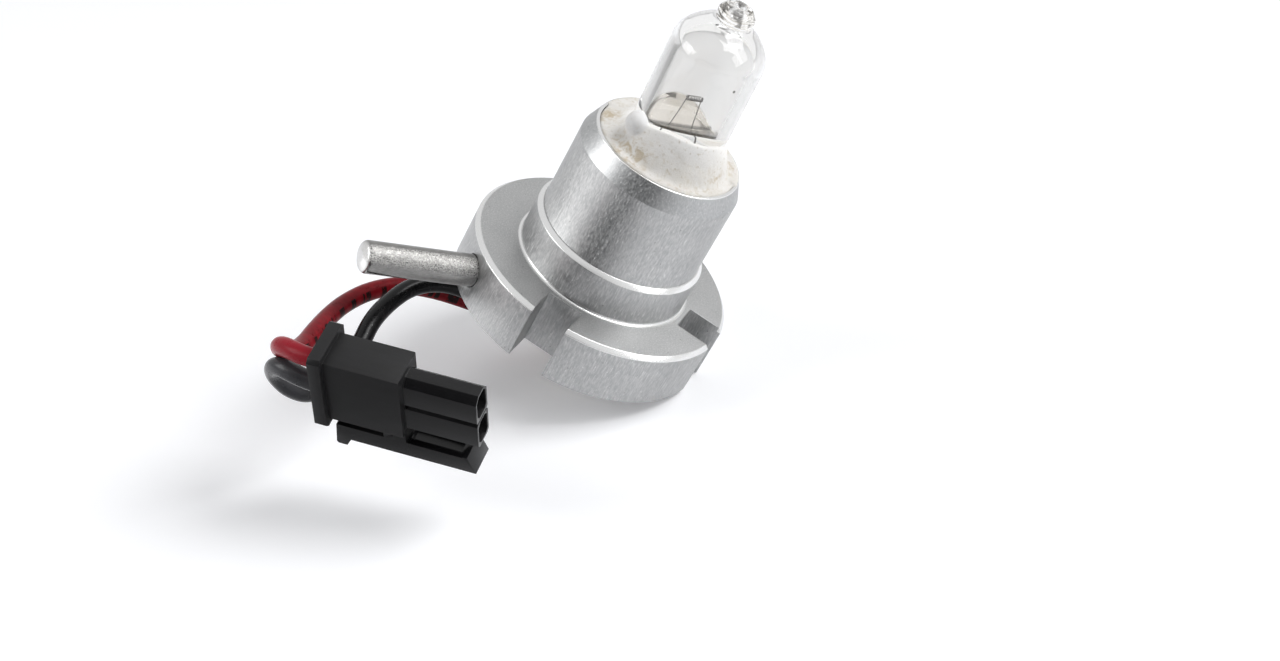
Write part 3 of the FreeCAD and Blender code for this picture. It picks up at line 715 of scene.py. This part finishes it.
def woven_sleeve():
    """Woven glass sleeve, coated with resin."""
    f = Finish("sleeve", IOR=1.45)
    x, y, z = f.parts(f.place(BULB))
    swirl = y.math("ARCTAN2", x) * 6.0
    weave = (swirl + z * 7.0).math("SINE") | (swirl - z * 7.0).math("SINE")
    cloud = f.noise(f.place(), 0.9, 2.0, 0.5)
    f.set(Base_Color=f.ramp(weave * 0.3 + cloud * 0.6, (0.1, (0.50, 0.47, 0.40)), (0.7, (0.74, 0.71, 0.64))),
          Roughness=0.6 + cloud * 0.2,
          Normal=f.bump(weave, 0.05, 0.6))
    return f.material


def insulation(name, skin, dark, bend, mark, strength, sheen, rough):
    """Satin wire insulation with a sheen painted on where it bends by the plug, and a line of plain printed
    dashes.
    """
    f = Finish(name, IOR=1.5, Specular_IOR_Level=sheen)
    u, v = f.parts(f.node("ShaderNodeUVMap", {"uv_map": "along"}))[:2]
    here = f.place()
    scuff = f.noise(here, 1.4, 3.0, 0.6)
    fine = f.noise(here, 9.0, 2.0, 0.6)
    # Painted sheen: the colour is paler where the lead bends by the plug
    painted_sheen_at_bend = (-f.parts(here)[1]).between(25.5, 28.5)
    dash = (u / 2.1).math("FRACT")
    dash = dash.between(0.16, 0.2) * dash.until(0.74, 0.78)
    printed = f.node("ShaderNodeTexWhiteNoise", {"noise_dimensions": "1D"}, W=(u * 4.2).math("FLOOR"))
    dash = dash * printed.math("GREATER_THAN", 0.33)
    band = abs(v.math("FRACT") - 0.5).until(0.10, 0.112)
    worn = f.noise(here, 3.0, 2.0, 0.6).between(0.30, 0.42)
    f.set(Base_Color=f.layers(dark, (scuff.between(0.35, 0.75), skin), (painted_sheen_at_bend, bend),
                              (dash * band * worn * strength, mark)),
          Roughness=rough + scuff * 0.14 + fine * 0.05,
          Normal=f.bump(scuff * 0.7 + fine * 0.2, 0.03, 0.5))
    return f.material


def plug_nylon(nylon):
    """Black moulded nylon: fine spark texture, dusty, and glossy on the barrels."""
    f = Finish("plug_nylon", IOR=1.5, Specular_IOR_Level=0.34)
    here = f.place(PLUG)
    grain = f.noise(here, 14.0, 3.0, 0.65)
    gloss = f.parts(here)[0].between(7.7, 7.9)
    flow = f.noise(f.place(PLUG, (0.25, 1, 1)), 1.6, 3.0, 0.6)
    dust = f.noise(here, 4.2, 3.0, 0.7).between(0.63, 0.78)
    f.set(Base_Color=f.layers(nylon, (flow.between(0.3, 0.75), (0.009, 0.009, 0.010)),
                              (dust * 0.35, (0.04, 0.039, 0.038))),
          Roughness=0.34 + grain * 0.14 + flow * 0.08 - gloss * 0.24,
          Normal=f.bump((grain * 0.5 + flow * 0.5) * (1 - gloss * 0.7), 0.02, 0.5))
    return f.material


# What a user may change

def millimetres(name, description, default):
    return bpy.props.FloatProperty(
        name=name, description=description, default=default * MM, min=0.0,
        unit="LENGTH", subtype="DISTANCE", precision=5)


def colour(name, description, default):
    return bpy.props.FloatVectorProperty(
        name=name, description=description, default=default, size=3, min=0.0, max=1.0, subtype="COLOR")


class LAMP_PG_sizes(bpy.types.PropertyGroup):
    """Sizes of the details that the looks add to the solids."""
    edge: millimetres("Edge", "Rounding on the holder's machined edges", 0.07)
    base_fillet: millimetres("Base fillet", "Fillet between the boss and the flange", 0.22)
    pin_gap: millimetres("Pin joint", "Joint line round the lever pin", 0.07)
    cement_lump: millimetres("Cement lumps", "Unevenness of the cement", 0.16)
    lead: millimetres("Lead", "Diameter of each lead", 1.7)
    plug_edge: millimetres("Plug edge", "Rounding on the plug's moulded edges", 0.06)


class LAMP_PG_colours(bpy.types.PropertyGroup):
    """Colours of the finishes."""
    cement: colour("Cement", "Clean cement", (0.735, 0.72, 0.695))
    quartz: colour("Quartz", "Tint of the quartz", (0.995, 0.995, 0.99))
    red: colour("Red lead", "Insulation of the red lead", (0.215, 0.006, 0.012))
    black: colour("Black lead", "Insulation of the black lead", (0.0055, 0.0055, 0.006))
    nylon: colour("Plug", "Nylon of the plug", (0.0065, 0.0063, 0.0068))


# Operators, one for each piece or group of like pieces

class LAMP_OT_holder(bpy.types.Operator):
    """Turn the holder, mill its two slots and drill the hole for the lever pin"""
    bl_idname = "lamp.holder"
    bl_label = "Holder"

    def execute(self, context):
        s = context.scene.lamp_sizes
        edge, fillet = s.edge / MM, s.base_fillet / MM
        section = rounded([
            (6.4, -5.6, edge), (12.65, -5.6, 0.15), (12.65, -0.36, edge), (12.29, 0, edge), (8.3, 0, fillet),
            (8.3, 3.82, edge), (7.93, 4.2, edge), (7.8, 4.2), (7.8, 12.3, 0.25), (7.02, 14.1, edge),
            (6.75, 14.1, 0.03), (6.75, 6.0), (4.9, 6.0), (4.9, -2.6), (6.4, -2.6)], closed=True)
        body = lathe("holder", section + [section[0]], 256)
        # Each slot: two corners of its cutter, and the axis and place of its floor
        for low, high, axis, floor in (
            ((-1.75, -14, -8), (1.75, -9, 2), 1, -9),
            ((9, -1.75, -8), (14, 1.75, 2), 0, 9),
        ):
            cutter = brick("slot_cutter", low, high)
            bevel(cutter, lambda mid, way: abs(way.z) > 0.9 and abs(mid[axis] - floor) < 0.01, 0.15, 2)
            carve(body, cutter)
        clear()
        bpy.ops.mesh.primitive_cylinder_add(
            vertices=96, radius=PIN_RADIUS * MM + s.pin_gap, depth=12 * MM, location=(0, 0, 6 * MM))
        carve(body, place(bpy.context.object, PIN @ bpy.context.object.matrix_world))
        soften(body, 0.05, 50)
        smooth(body, 28)
        ready(body, "turned_aluminium", turned_aluminium(), "lamp_holder")
        return {"FINISHED"}


class LAMP_OT_pin(bpy.types.Operator):
    """Turn the lever pin with its rounded, slightly crowned end"""
    bl_idname = "lamp.pin"
    bl_label = "Lever pin"

    def execute(self, context):
        section = rounded([
            (0, 0), (PIN_RADIUS, 0, 0.1), (PIN_RADIUS, 15.13, 0.45), (0.5, 15.33, 1.0), (0, 15.35)], 8)
        pin = place(lathe("lever_rod", section, 96), PIN)
        smooth(pin, 40)
        ready(pin, "pin_steel", pin_steel(), "lever_pin")
        return {"FINISHED"}


class LAMP_OT_cement(bpy.types.Operator):
    """Cast the cement round the bulb, with its bead, and the potting at the back"""
    bl_idname = "lamp.cement"
    bl_label = "Cement and potting"

    fillet_foot = 14.32
    fillet_rise = 1.88

    def execute(self, context):
        lump = context.scene.lamp_sizes.cement_lump
        mound = lathe("front_fill", rounded([
            (0, 6.0), (6.74, 6.0), (6.74, 14.08, 0.1), (5.85, self.fillet_foot, 1.2), (5.14, 15.1, 1.6),
            (4.54, 16.2, 0.2), (4.1, 16.2), (0, 16.2)], 8), 128)
        for point in mound.data.vertices:
            x, y, z = point.co / MM
            if z > self.fillet_foot:
                tilt = max(-1.1, min(1.6, 0.28 * x - 0.38 * y - 0.2))
                point.co.z += tilt * (z - self.fillet_foot) / self.fillet_rise * MM
        carve(mound, ball("bead", 1.2, (-2.88, -3.43, 16.3), 48), "UNION")
        smear = lathe("smear", rounded([
            (5.6, 13.9), (6.99, 13.9), (6.99, 14.22, 0.12), (6.5, 14.36, 0.5), (5.6, 14.36), (5.6, 13.9)], 4), 128)
        carve(smear, brick("clean_rim", (-8, -8, 13), (8, 0.6, 15)))
        carve(mound, smear, "UNION")
        lumps = bpy.data.textures.new("cement_lumps", "CLOUDS")
        lumps.noise_scale = 0.0016
        lumps.noise_depth = 3
        self.cast(mound, 0.13, 8, lumps, lump, 0.62)
        carve(mound, glass_form("glass_room", -0.03))
        smooth(mound, 180)
        ready(mound, "lamp_cement", lamp_cement(context.scene.lamp_colours.cement), "front_cement")

        back = lathe("rear_fill", rounded([
            (0, -5.22), (5.6, -5.26, 1.0), (6.38, -5.05, 0.1), (6.38, -2.6), (0, -2.6)], 6), 96)
        self.cast(back, 0.16, 4, lumps, lump * 0.6, 0.7)
        smooth(back, 180)
        ready(back, "potting", potting(), "rear_potting")
        return {"FINISHED"}

    def cast(self, obj, voxel, passes, lumps, strength, level):
        """Give a fill the uneven skin of something poured and wiped by hand."""
        apply(obj, "REMESH", mode="VOXEL", voxel_size=voxel * MM)
        apply(obj, "SMOOTH", factor=0.6, iterations=passes)
        apply(obj, "DISPLACE", texture=lumps, strength=strength, mid_level=level, texture_coords="LOCAL")


class LAMP_OT_bulb(bpy.types.Operator):
    """Blow the quartz: dome, sealed tip, round body and pressed pinch, with the gas space inside"""
    bl_idname = "lamp.bulb"
    bl_label = "Bulb"

    def execute(self, context):
        shell = glass_form("quartz_bulb", 0)
        line = [(GAS_RADIUS * k / 12, GAS_FLOOR) for k in range(13)]
        line += [(GAS_RADIUS, GAS_FLOOR + 0.2 * k) for k in range(1, 39)]
        gas = lathe("gas_space", line + arc_line(GAS_RADIUS, BODY_TOP, 2.3, 1.1), 160)
        for point in gas.data.vertices:
            x, y, z = point.co / MM
            low = GAS_FLOOR + CREASE_RISE * (abs(y) / GAS_RADIUS) ** CREASE_POWER
            if z < low:
                point.co = Vector((x, y, low)) * MM
        apply(gas, "SMOOTH", factor=0.5, iterations=3)
        void = ball("void", 0.6, (0, 0, 11.95), 32, 0.7)
        for hollow in (gas, void):
            face_in(hollow)
            place(hollow, BULB)
        clear()
        for part in (void, gas, shell):
            part.select_set(True)
        bpy.context.view_layer.objects.active = shell
        bpy.ops.object.join()
        smooth(shell, 180)
        ready(shell, "quartz", quartz(context.scene.lamp_colours.quartz), "bulb_envelope")
        return {"FINISHED"}


class LAMP_OT_filament(bpy.types.Operator):
    """Wind the filament and draw its two legs down into the pinch"""
    bl_idname = "lamp.filament"
    bl_label = "Filament"

    turns = 9
    steps = 14
    radius = 0.215

    def execute(self, context):
        coil = []
        count = self.turns * self.steps
        for k in range(count + 1):
            a = 2 * math.pi * k / self.steps
            coil.append((-0.75 + 1.5 * k / count, self.radius * math.sin(a), 3.25 + self.radius * math.cos(a)))
        left = [(-1.3, 0, -0.9), (-1.3, 0, -0.2), (-1.1, 0, 0.6), (-0.85, 0.02, 2.4), (-0.77, 0.03, 3.2),
                (-0.76, 0.02, 3.42)]
        right = [(-x, y, z) for x, y, z in reversed(left)]
        wire = nurbs("filament_wire", left + coil + right, 3)
        wire.data.bevel_depth = 0.05 * MM
        wire.data.bevel_resolution = 3
        wire.data.use_fill_caps = True
        pick(wire)
        bpy.ops.object.convert(target="MESH")
        wire = place(bpy.context.object, BULB)
        smooth(wire, 60)
        finish = drawn_metal("tungsten", (0.16, 0.155, 0.15), (0.42, 0.41, 0.40), 0.3, BULB, 14.0)
        ready(wire, "tungsten", finish, "filament")
        return {"FINISHED"}


class LAMP_OT_conductors(bpy.types.Operator):
    """Finish the foils, contact pins, ferrules, sleeves and the plug's terminals"""
    bl_idname = "lamp.conductors"
    bl_label = "Foils, pins, ferrules and terminals"

    def execute(self, context):
        foil = drawn_metal("sealing_foil", (0.46, 0.44, 0.41), (0.68, 0.66, 0.62), 0.42, BULB)
        contact = drawn_metal("contact_metal", (0.30, 0.29, 0.28), (0.55, 0.53, 0.51), 0.3, BULB)
        ferrule = drawn_metal("ferrule_metal", (0.50, 0.49, 0.46), (0.74, 0.73, 0.70), 0.28, BULB)
        tinned = drawn_metal(
            "tinned_terminal", (0.50, 0.49, 0.47), (0.80, 0.79, 0.76), 0.25, PLUG @ turn("Y", 90))
        for word, sides, finish in (
            ("foil", "left right", foil), ("contact_pin", "left right", contact),
            ("ferrule", "left right", ferrule), ("sleeve", "left right", woven_sleeve()),
            ("plug_terminal", "upper lower", tinned),
        ):
            for side in sides.split():
                dress(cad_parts[word + "_" + side], finish)
        return {"FINISHED"}


class LAMP_OT_leads(bpy.types.Operator):
    """Lay the red and the black lead from the ferrules to the plug"""
    bl_idname = "lamp.leads"
    bl_label = "Leads"

    red = [
        (2.15, 1.52, -2.87), (2.27, 1.53, -5.87),
        (0.1, 0.1, -8.2), (-4.3, -1.6, -9.4), (-9.4, -3.2, -9.8), (-12.2, -5.2, -9.5),
        (-14.3, -7.6, -9.2), (-16.0, -10.9, -9.3), (-16.75, -14.6, -9.4), (-16.7, -18.1, -9.2),
        (-16.35, -21.3, -8.8), (-15.95, -24.0, -8.5), (-15.9, -26.3, -7.9), (-16.3, -28.1, -7.0),
        (-16.4, -29.3, -5.9), (-15.6, -30.3, -4.8), (-13.54, -31.26, -3.74), (-11.19, -31.08, -2.88)]
    black = [
        (-0.67, -1.31, -3.00), (-0.56, -1.29, -5.99),
        (-2.0, -2.3, -7.6), (-5.1, -3.6, -8.0), (-8.6, -5.0, -7.3), (-11.4, -7.1, -6.9),
        (-13.1, -9.8, -7.3), (-13.6, -12.9, -8.0), (-13.55, -15.85, -8.6), (-12.85, -18.5, -9.5),
        (-12.6, -21.2, -10.4), (-12.6, -23.7, -11.1), (-13.3, -25.8, -11.4), (-14.6, -27.3, -10.75),
        (-15.7, -28.3, -9.65), (-16.15, -29.15, -8.4), (-15.5, -29.95, -7.15), (-14.15, -30.4, -6.6),
        (-12.44, -30.29, -6.36), (-10.28, -30.13, -5.58)]

    def execute(self, context):
        s = context.scene.lamp_sizes
        c = context.scene.lamp_colours
        # bend: the tone of the painted sheen where each lead bends by the plug
        red = insulation("red_insulation", c.red, dark=(0.15, 0.005, 0.009), bend=(0.30, 0.015, 0.026),
                         mark=(0.008, 0.004, 0.004), strength=0.96, sheen=0.10, rough=0.20)
        black = insulation("black_insulation", c.black, dark=(0.003, 0.003, 0.0035), bend=(0.05, 0.05, 0.055),
                           mark=(0.06, 0.06, 0.06), strength=0.05, sheen=0.22, rough=0.16)
        for name, route, finish, length, facing in (
            ("red_lead", self.red, red, 0.0526, Vector((0.20, -0.92, 0.34))),
            ("black_lead", self.black, black, 0.0482, Vector((0.085, -0.833, 0.547))),
        ):
            piece, line = self.tube(name + "_wire", route, s.lead, facing)
            ready(piece, name.replace("lead", "insulation"), finish, name)
        return {"FINISHED"}

    def far_pieces(self, name):
        if name == "red_lead":
            return ["plug_moulding", "plug_terminal_upper"]
        return ["plug_terminal_lower"]

    def centreline(self, route):
        """Points on the smooth line that the route's points control."""
        holder = nurbs("route", route, 14)
        bpy.context.view_layer.update()
        mesh = bpy.data.meshes.new_from_object(holder)
        line = [v.co.copy() for v in mesh.vertices]
        bpy.data.objects.remove(holder)
        return line

    def tube(self, name, route, diameter, facing, around=28):
        """A tube along the centreline, and that line.

        Its UV map has mm along it, and turns round it: a half turn on the side that faces one way.
        """
        line = self.centreline(route)
        sides = []
        side = (line[1] - line[0]).normalized().orthogonal().normalized()
        for i, point in enumerate(line):
            ahead = line[min(i + 1, len(line) - 1)] - line[max(i - 1, 0)]
            ahead.normalize()
            side = (side - ahead * side.dot(ahead)).normalized()
            sides.append((side.copy(), ahead.cross(side)))
        one, two = sides[len(sides) * 3 // 10]
        start = 0.5 - math.atan2(two.dot(facing), one.dot(facing)) / (2 * math.pi)
        verts = []
        faces = []
        along = [0.0]
        for a, b in zip(line, line[1:]):
            along.append(along[-1] + (b - a).length / MM)
        for point, (one, two) in zip(line, sides):
            for k in range(around):
                a = 2 * math.pi * k / around
                verts.append(point + (one * math.cos(a) + two * math.sin(a)) * diameter / 2)
        for i in range(len(line) - 1):
            ring, following = i * around, (i + 1) * around
            for k in range(around):
                j = (k + 1) % around
                faces.append((ring + k, ring + j, following + j, following + k))
        faces.append(tuple(reversed(range(around))))
        faces.append(tuple(range((len(line) - 1) * around, len(line) * around)))
        mesh = bpy.data.meshes.new(name)
        mesh.from_pydata(verts, [], faces)
        chart = mesh.uv_layers.new(name="along")
        for face in mesh.polygons:
            spokes = [vertex % around for vertex in face.vertices]
            last = len(spokes) == 4 and around - 1 in spokes
            for corner in face.loop_indices:
                ring, spoke = divmod(mesh.loops[corner].vertex_index, around)
                turned = 1.0 if last and spoke == 0 else spoke / around
                chart.data[corner].uv = (along[ring], turned + start)
        obj = add(name, mesh)
        edit(obj)
        face_out()
        smooth(obj, 60)
        return obj, line


class LAMP_OT_plug(bpy.types.Operator):
    """Mould the plug: collar, body, two barrels, keying rib and the latch arm"""
    bl_idname = "lamp.plug"
    bl_label = "Plug"

    upper = 1.42
    lower = -1.58
    heel = 1.25

    def execute(self, context):
        body = brick("plug_moulding", (0.5, -1.85, -3.35), (7.7, 1.85, 3.35))
        collar = brick("collar", (0, -2.5, -4.0), (1.1, 2.5, 4.0))
        bevel(collar, along_x, 0.35)
        carve(body, collar, "UNION")
        # Each barrel: its centre, which way is out, and the chamfers of its outer and inner edges
        for centre, out, outer, inner in ((self.upper, 1, 0.62, 0.14), (self.lower, -1, 0.3, 0.26)):
            barrel = brick("barrel", (7.2, -1.175, centre - 1.45), (14.1, 1.175, centre + 1.45))
            bevel(barrel, lambda mid, way: along_x(mid, way) and (mid.z - centre) * out > 1.4, outer)
            bevel(barrel, lambda mid, way: along_x(mid, way) and (mid.z - centre) * out < -1.4, inner)
            carve(body, barrel, "UNION")
        heel = self.heel
        arm = prism("latch", [
            (heel + 0.15, -4.4), (heel, -6.6), (heel + 0.15, -6.8), (heel + 0.95, -6.8), (heel + 1.35, -6.0),
            (13.85, -6.0), (13.1, -4.3), (12.7, -4.3), (12.7, -4.4), (7.7, -4.4), (7.7, -3.05), (5.7, -3.05),
            (5.7, -4.4)], -1.45, 1.45)
        carve(body, arm, "UNION")
        carve(body, brick("rib", (7.5, -0.4, -3.53), (11.4, 0.4, -2.9)), "UNION")
        carve(body, brick("window", (7.9, -0.8, -5.15), (12.4, 0.8, -4.0)))
        for centre in (self.upper, self.lower):
            carve(body, brick("throat", (-1, -0.97, centre - 0.97), (6.0, 0.97, centre + 0.97)))
            mouth = brick("mouth", (5, -0.725, centre - 0.85), (15, 0.725, centre + 0.85))
            bevel(mouth, along_x, 0.12)
            carve(body, mouth)
            flare = brick("flare", (13.2, -0.93, centre - 1.2), (15, 0.93, centre + 1.2))
            bevel(flare, along_x, 0.4)
            carve(body, flare)
        soften(body, context.scene.lamp_sizes.plug_edge / MM, 35)
        smooth(body, 25)
        place(body, PLUG)
        ready(body, "plug_nylon", plug_nylon(context.scene.lamp_colours.nylon), "plug_housing")
        return {"FINISHED"}


class LAMP_OT_stage(bpy.types.Operator):
    """Set the pale floor, the lights, the world and the camera"""
    bl_idname = "lamp.stage"
    bl_label = "Stage"

    def execute(self, context):
        self.camera(context)
        self.floor()
        self.lights()
        self.world(context)
        context.scene.view_settings.view_transform = "Standard"
        return {"FINISHED"}

    def camera(self, context):
        """The photograph's view, in metres."""
        data = bpy.data.cameras.new("camera")
        data.lens = 60.2255
        data.sensor_width = 36
        data.sensor_fit = "HORIZONTAL"
        data.clip_start = 0.005
        data.clip_end = 20
        camera = add("camera", data)
        right = Vector((0.83002391, 0.36251871, 0.42384018))
        up = Vector((-0.55127992, 0.41805033, 0.72202796))
        back = Vector((0.08456212, -0.83295505, 0.54684105))
        spot = Vector((0.02302519, -0.16683701, 0.10561502))
        camera.matrix_world = Matrix.Translation(spot) @ Matrix((right, up, back)).transposed().to_4x4()
        context.scene.camera = camera

    def floor(self):
        """A pale table that is seen from above only."""
        clear()
        bpy.ops.mesh.primitive_circle_add(vertices=128, radius=0.45, fill_type="NGON")
        floor = bpy.context.object
        floor.name = "table"
        place(floor, Matrix.Translation(TABLE_UP * TABLE_HEIGHT * MM) @ tip_to(TABLE_UP))
        f = Finish("table_white", Roughness=0.8, Specular_IOR_Level=0.2)
        seen = f.ray("Is Camera Ray")
        through = f.ray("Is Transmission Ray")
        x, y = f.parts(f.place())[:2]
        near = -y
        # As mirrors and glass see it: a grey strip in front, a grey patch far left, a bright card near left
        aside = abs(x + 1.5) / ((near - 3.0) | 1.0)
        front = near.between(20.0, 42.0) * aside.until(0.08, 0.80) * (1 - seen) * (1 - through)
        beside = (-x).between(120.0, 132.0) * through
        card = (-x / (near | 1.0)).between(0.42, 0.95) * near.between(3.0, 20.0)
        card = card * f.ray("Is Glossy Ray") * (1 - through)
        f.set(Base_Color=f.layers(
            (0.955, 0.962, 0.985), (through, (0.76, 0.76, 0.765)), (front, (0.46, 0.46, 0.47)),
            (beside, (0.48, 0.48, 0.48))))
        glow = f.node("ShaderNodeEmission", {}, Strength=seen * 0.11 + card * 0.55)
        both = f.node("ShaderNodeAddShader", {}, f.surface, glow)
        f.let_through(both, f.node("ShaderNodeNewGeometry", {}, out="Backfacing"))
        floor.data.materials.append(f.material)

    def lights(self):
        """Three soft lamps, all as far from the lamp's middle; their measures are in metres."""
        target = Vector((-0.002, -0.006, 0.006))
        distance = 0.42
        for name, direction, size, power in (
            ("key", Vector((-0.875, -0.47, 0.108)), 0.22, 0.76),
            ("top", Vector((0.20, 0.20, 0.96)), 0.24, 1.24),
            ("right", Vector((0.66, 0.07, 0.74)), 0.16, 0.30),
        ):
            data = bpy.data.lights.new(name, "AREA")
            data.shape = "SQUARE"
            data.size = size
            data.energy = power
            lamp = add(name, data)
            spot = target + direction.normalized() * distance
            aim = (target - spot).normalized()
            lamp.matrix_world = Matrix.Translation(spot) @ aim.to_track_quat("-Z", "Y").to_matrix().to_4x4()

    def world(self, context):
        """White to the camera, and darker towards the front for mirrors and glass."""
        room = Room("studio")
        context.scene.world = room.material
        where = room.node("ShaderNodeTexCoord", {}, out="Generated")
        toward = room.node(
            "ShaderNodeVectorMath", {"operation": "DOT_PRODUCT"}, where, (0.04, -0.968, 0.248))
        mirrored = 0.80 - toward.between(0.68, 1.0) * 0.74
        refracted = 0.92 - toward.between(0.92, 0.99) * 0.20
        level = mirrored * (0.43 + room.ray("Is Glossy Ray") * 0.57)
        for amount, other in ((room.ray("Is Transmission Ray"), refracted), (room.ray("Is Camera Ray"), 1.0)):
            level = level * (1 - amount) + amount * other
        room.set(Strength=level)
        room.shader.inputs["Color"].default_value = (0.99, 0.995, 1.0, 1)


class LAMP_PT_panel(bpy.types.Panel):
    """Sizes, colours and the pieces"""
    bl_idname = "LAMP_PT_panel"
    bl_label = "Halogen lamp"
    bl_space_type = "VIEW_3D"
    bl_region_type = "UI"
    bl_category = "Lamp"

    def draw(self, context):
        for group in (context.scene.lamp_sizes, context.scene.lamp_colours):
            box = self.layout.box()
            for key in group.__annotations__:
                box.prop(group, key)
        for piece in PIECES:
            self.layout.operator(piece.bl_idname)


PIECES = (LAMP_OT_stage, LAMP_OT_holder, LAMP_OT_pin, LAMP_OT_cement, LAMP_OT_bulb, LAMP_OT_filament,
          LAMP_OT_conductors, LAMP_OT_plug, LAMP_OT_leads)
CLASSES = (LAMP_PG_sizes, LAMP_PG_colours) + PIECES + (LAMP_PT_panel,)


def register():
    for item in CLASSES:
        bpy.utils.register_class(item)
    bpy.types.Scene.lamp_sizes = bpy.props.PointerProperty(type=LAMP_PG_sizes)
    bpy.types.Scene.lamp_colours = bpy.props.PointerProperty(type=LAMP_PG_colours)


def unregister():
    del bpy.types.Scene.lamp_sizes
    del bpy.types.Scene.lamp_colours
    for item in reversed(CLASSES):
        bpy.utils.unregister_class(item)


def main():
    register()
    bpy.ops.lamp.stage()
    bpy.ops.lamp.holder()
    bpy.ops.lamp.pin()
    bpy.ops.lamp.cement()
    bpy.ops.lamp.bulb()
    bpy.ops.lamp.filament()
    bpy.ops.lamp.conductors()
    bpy.ops.lamp.plug()
    bpy.ops.lamp.leads()


if __name__ == "__main__":
    main()
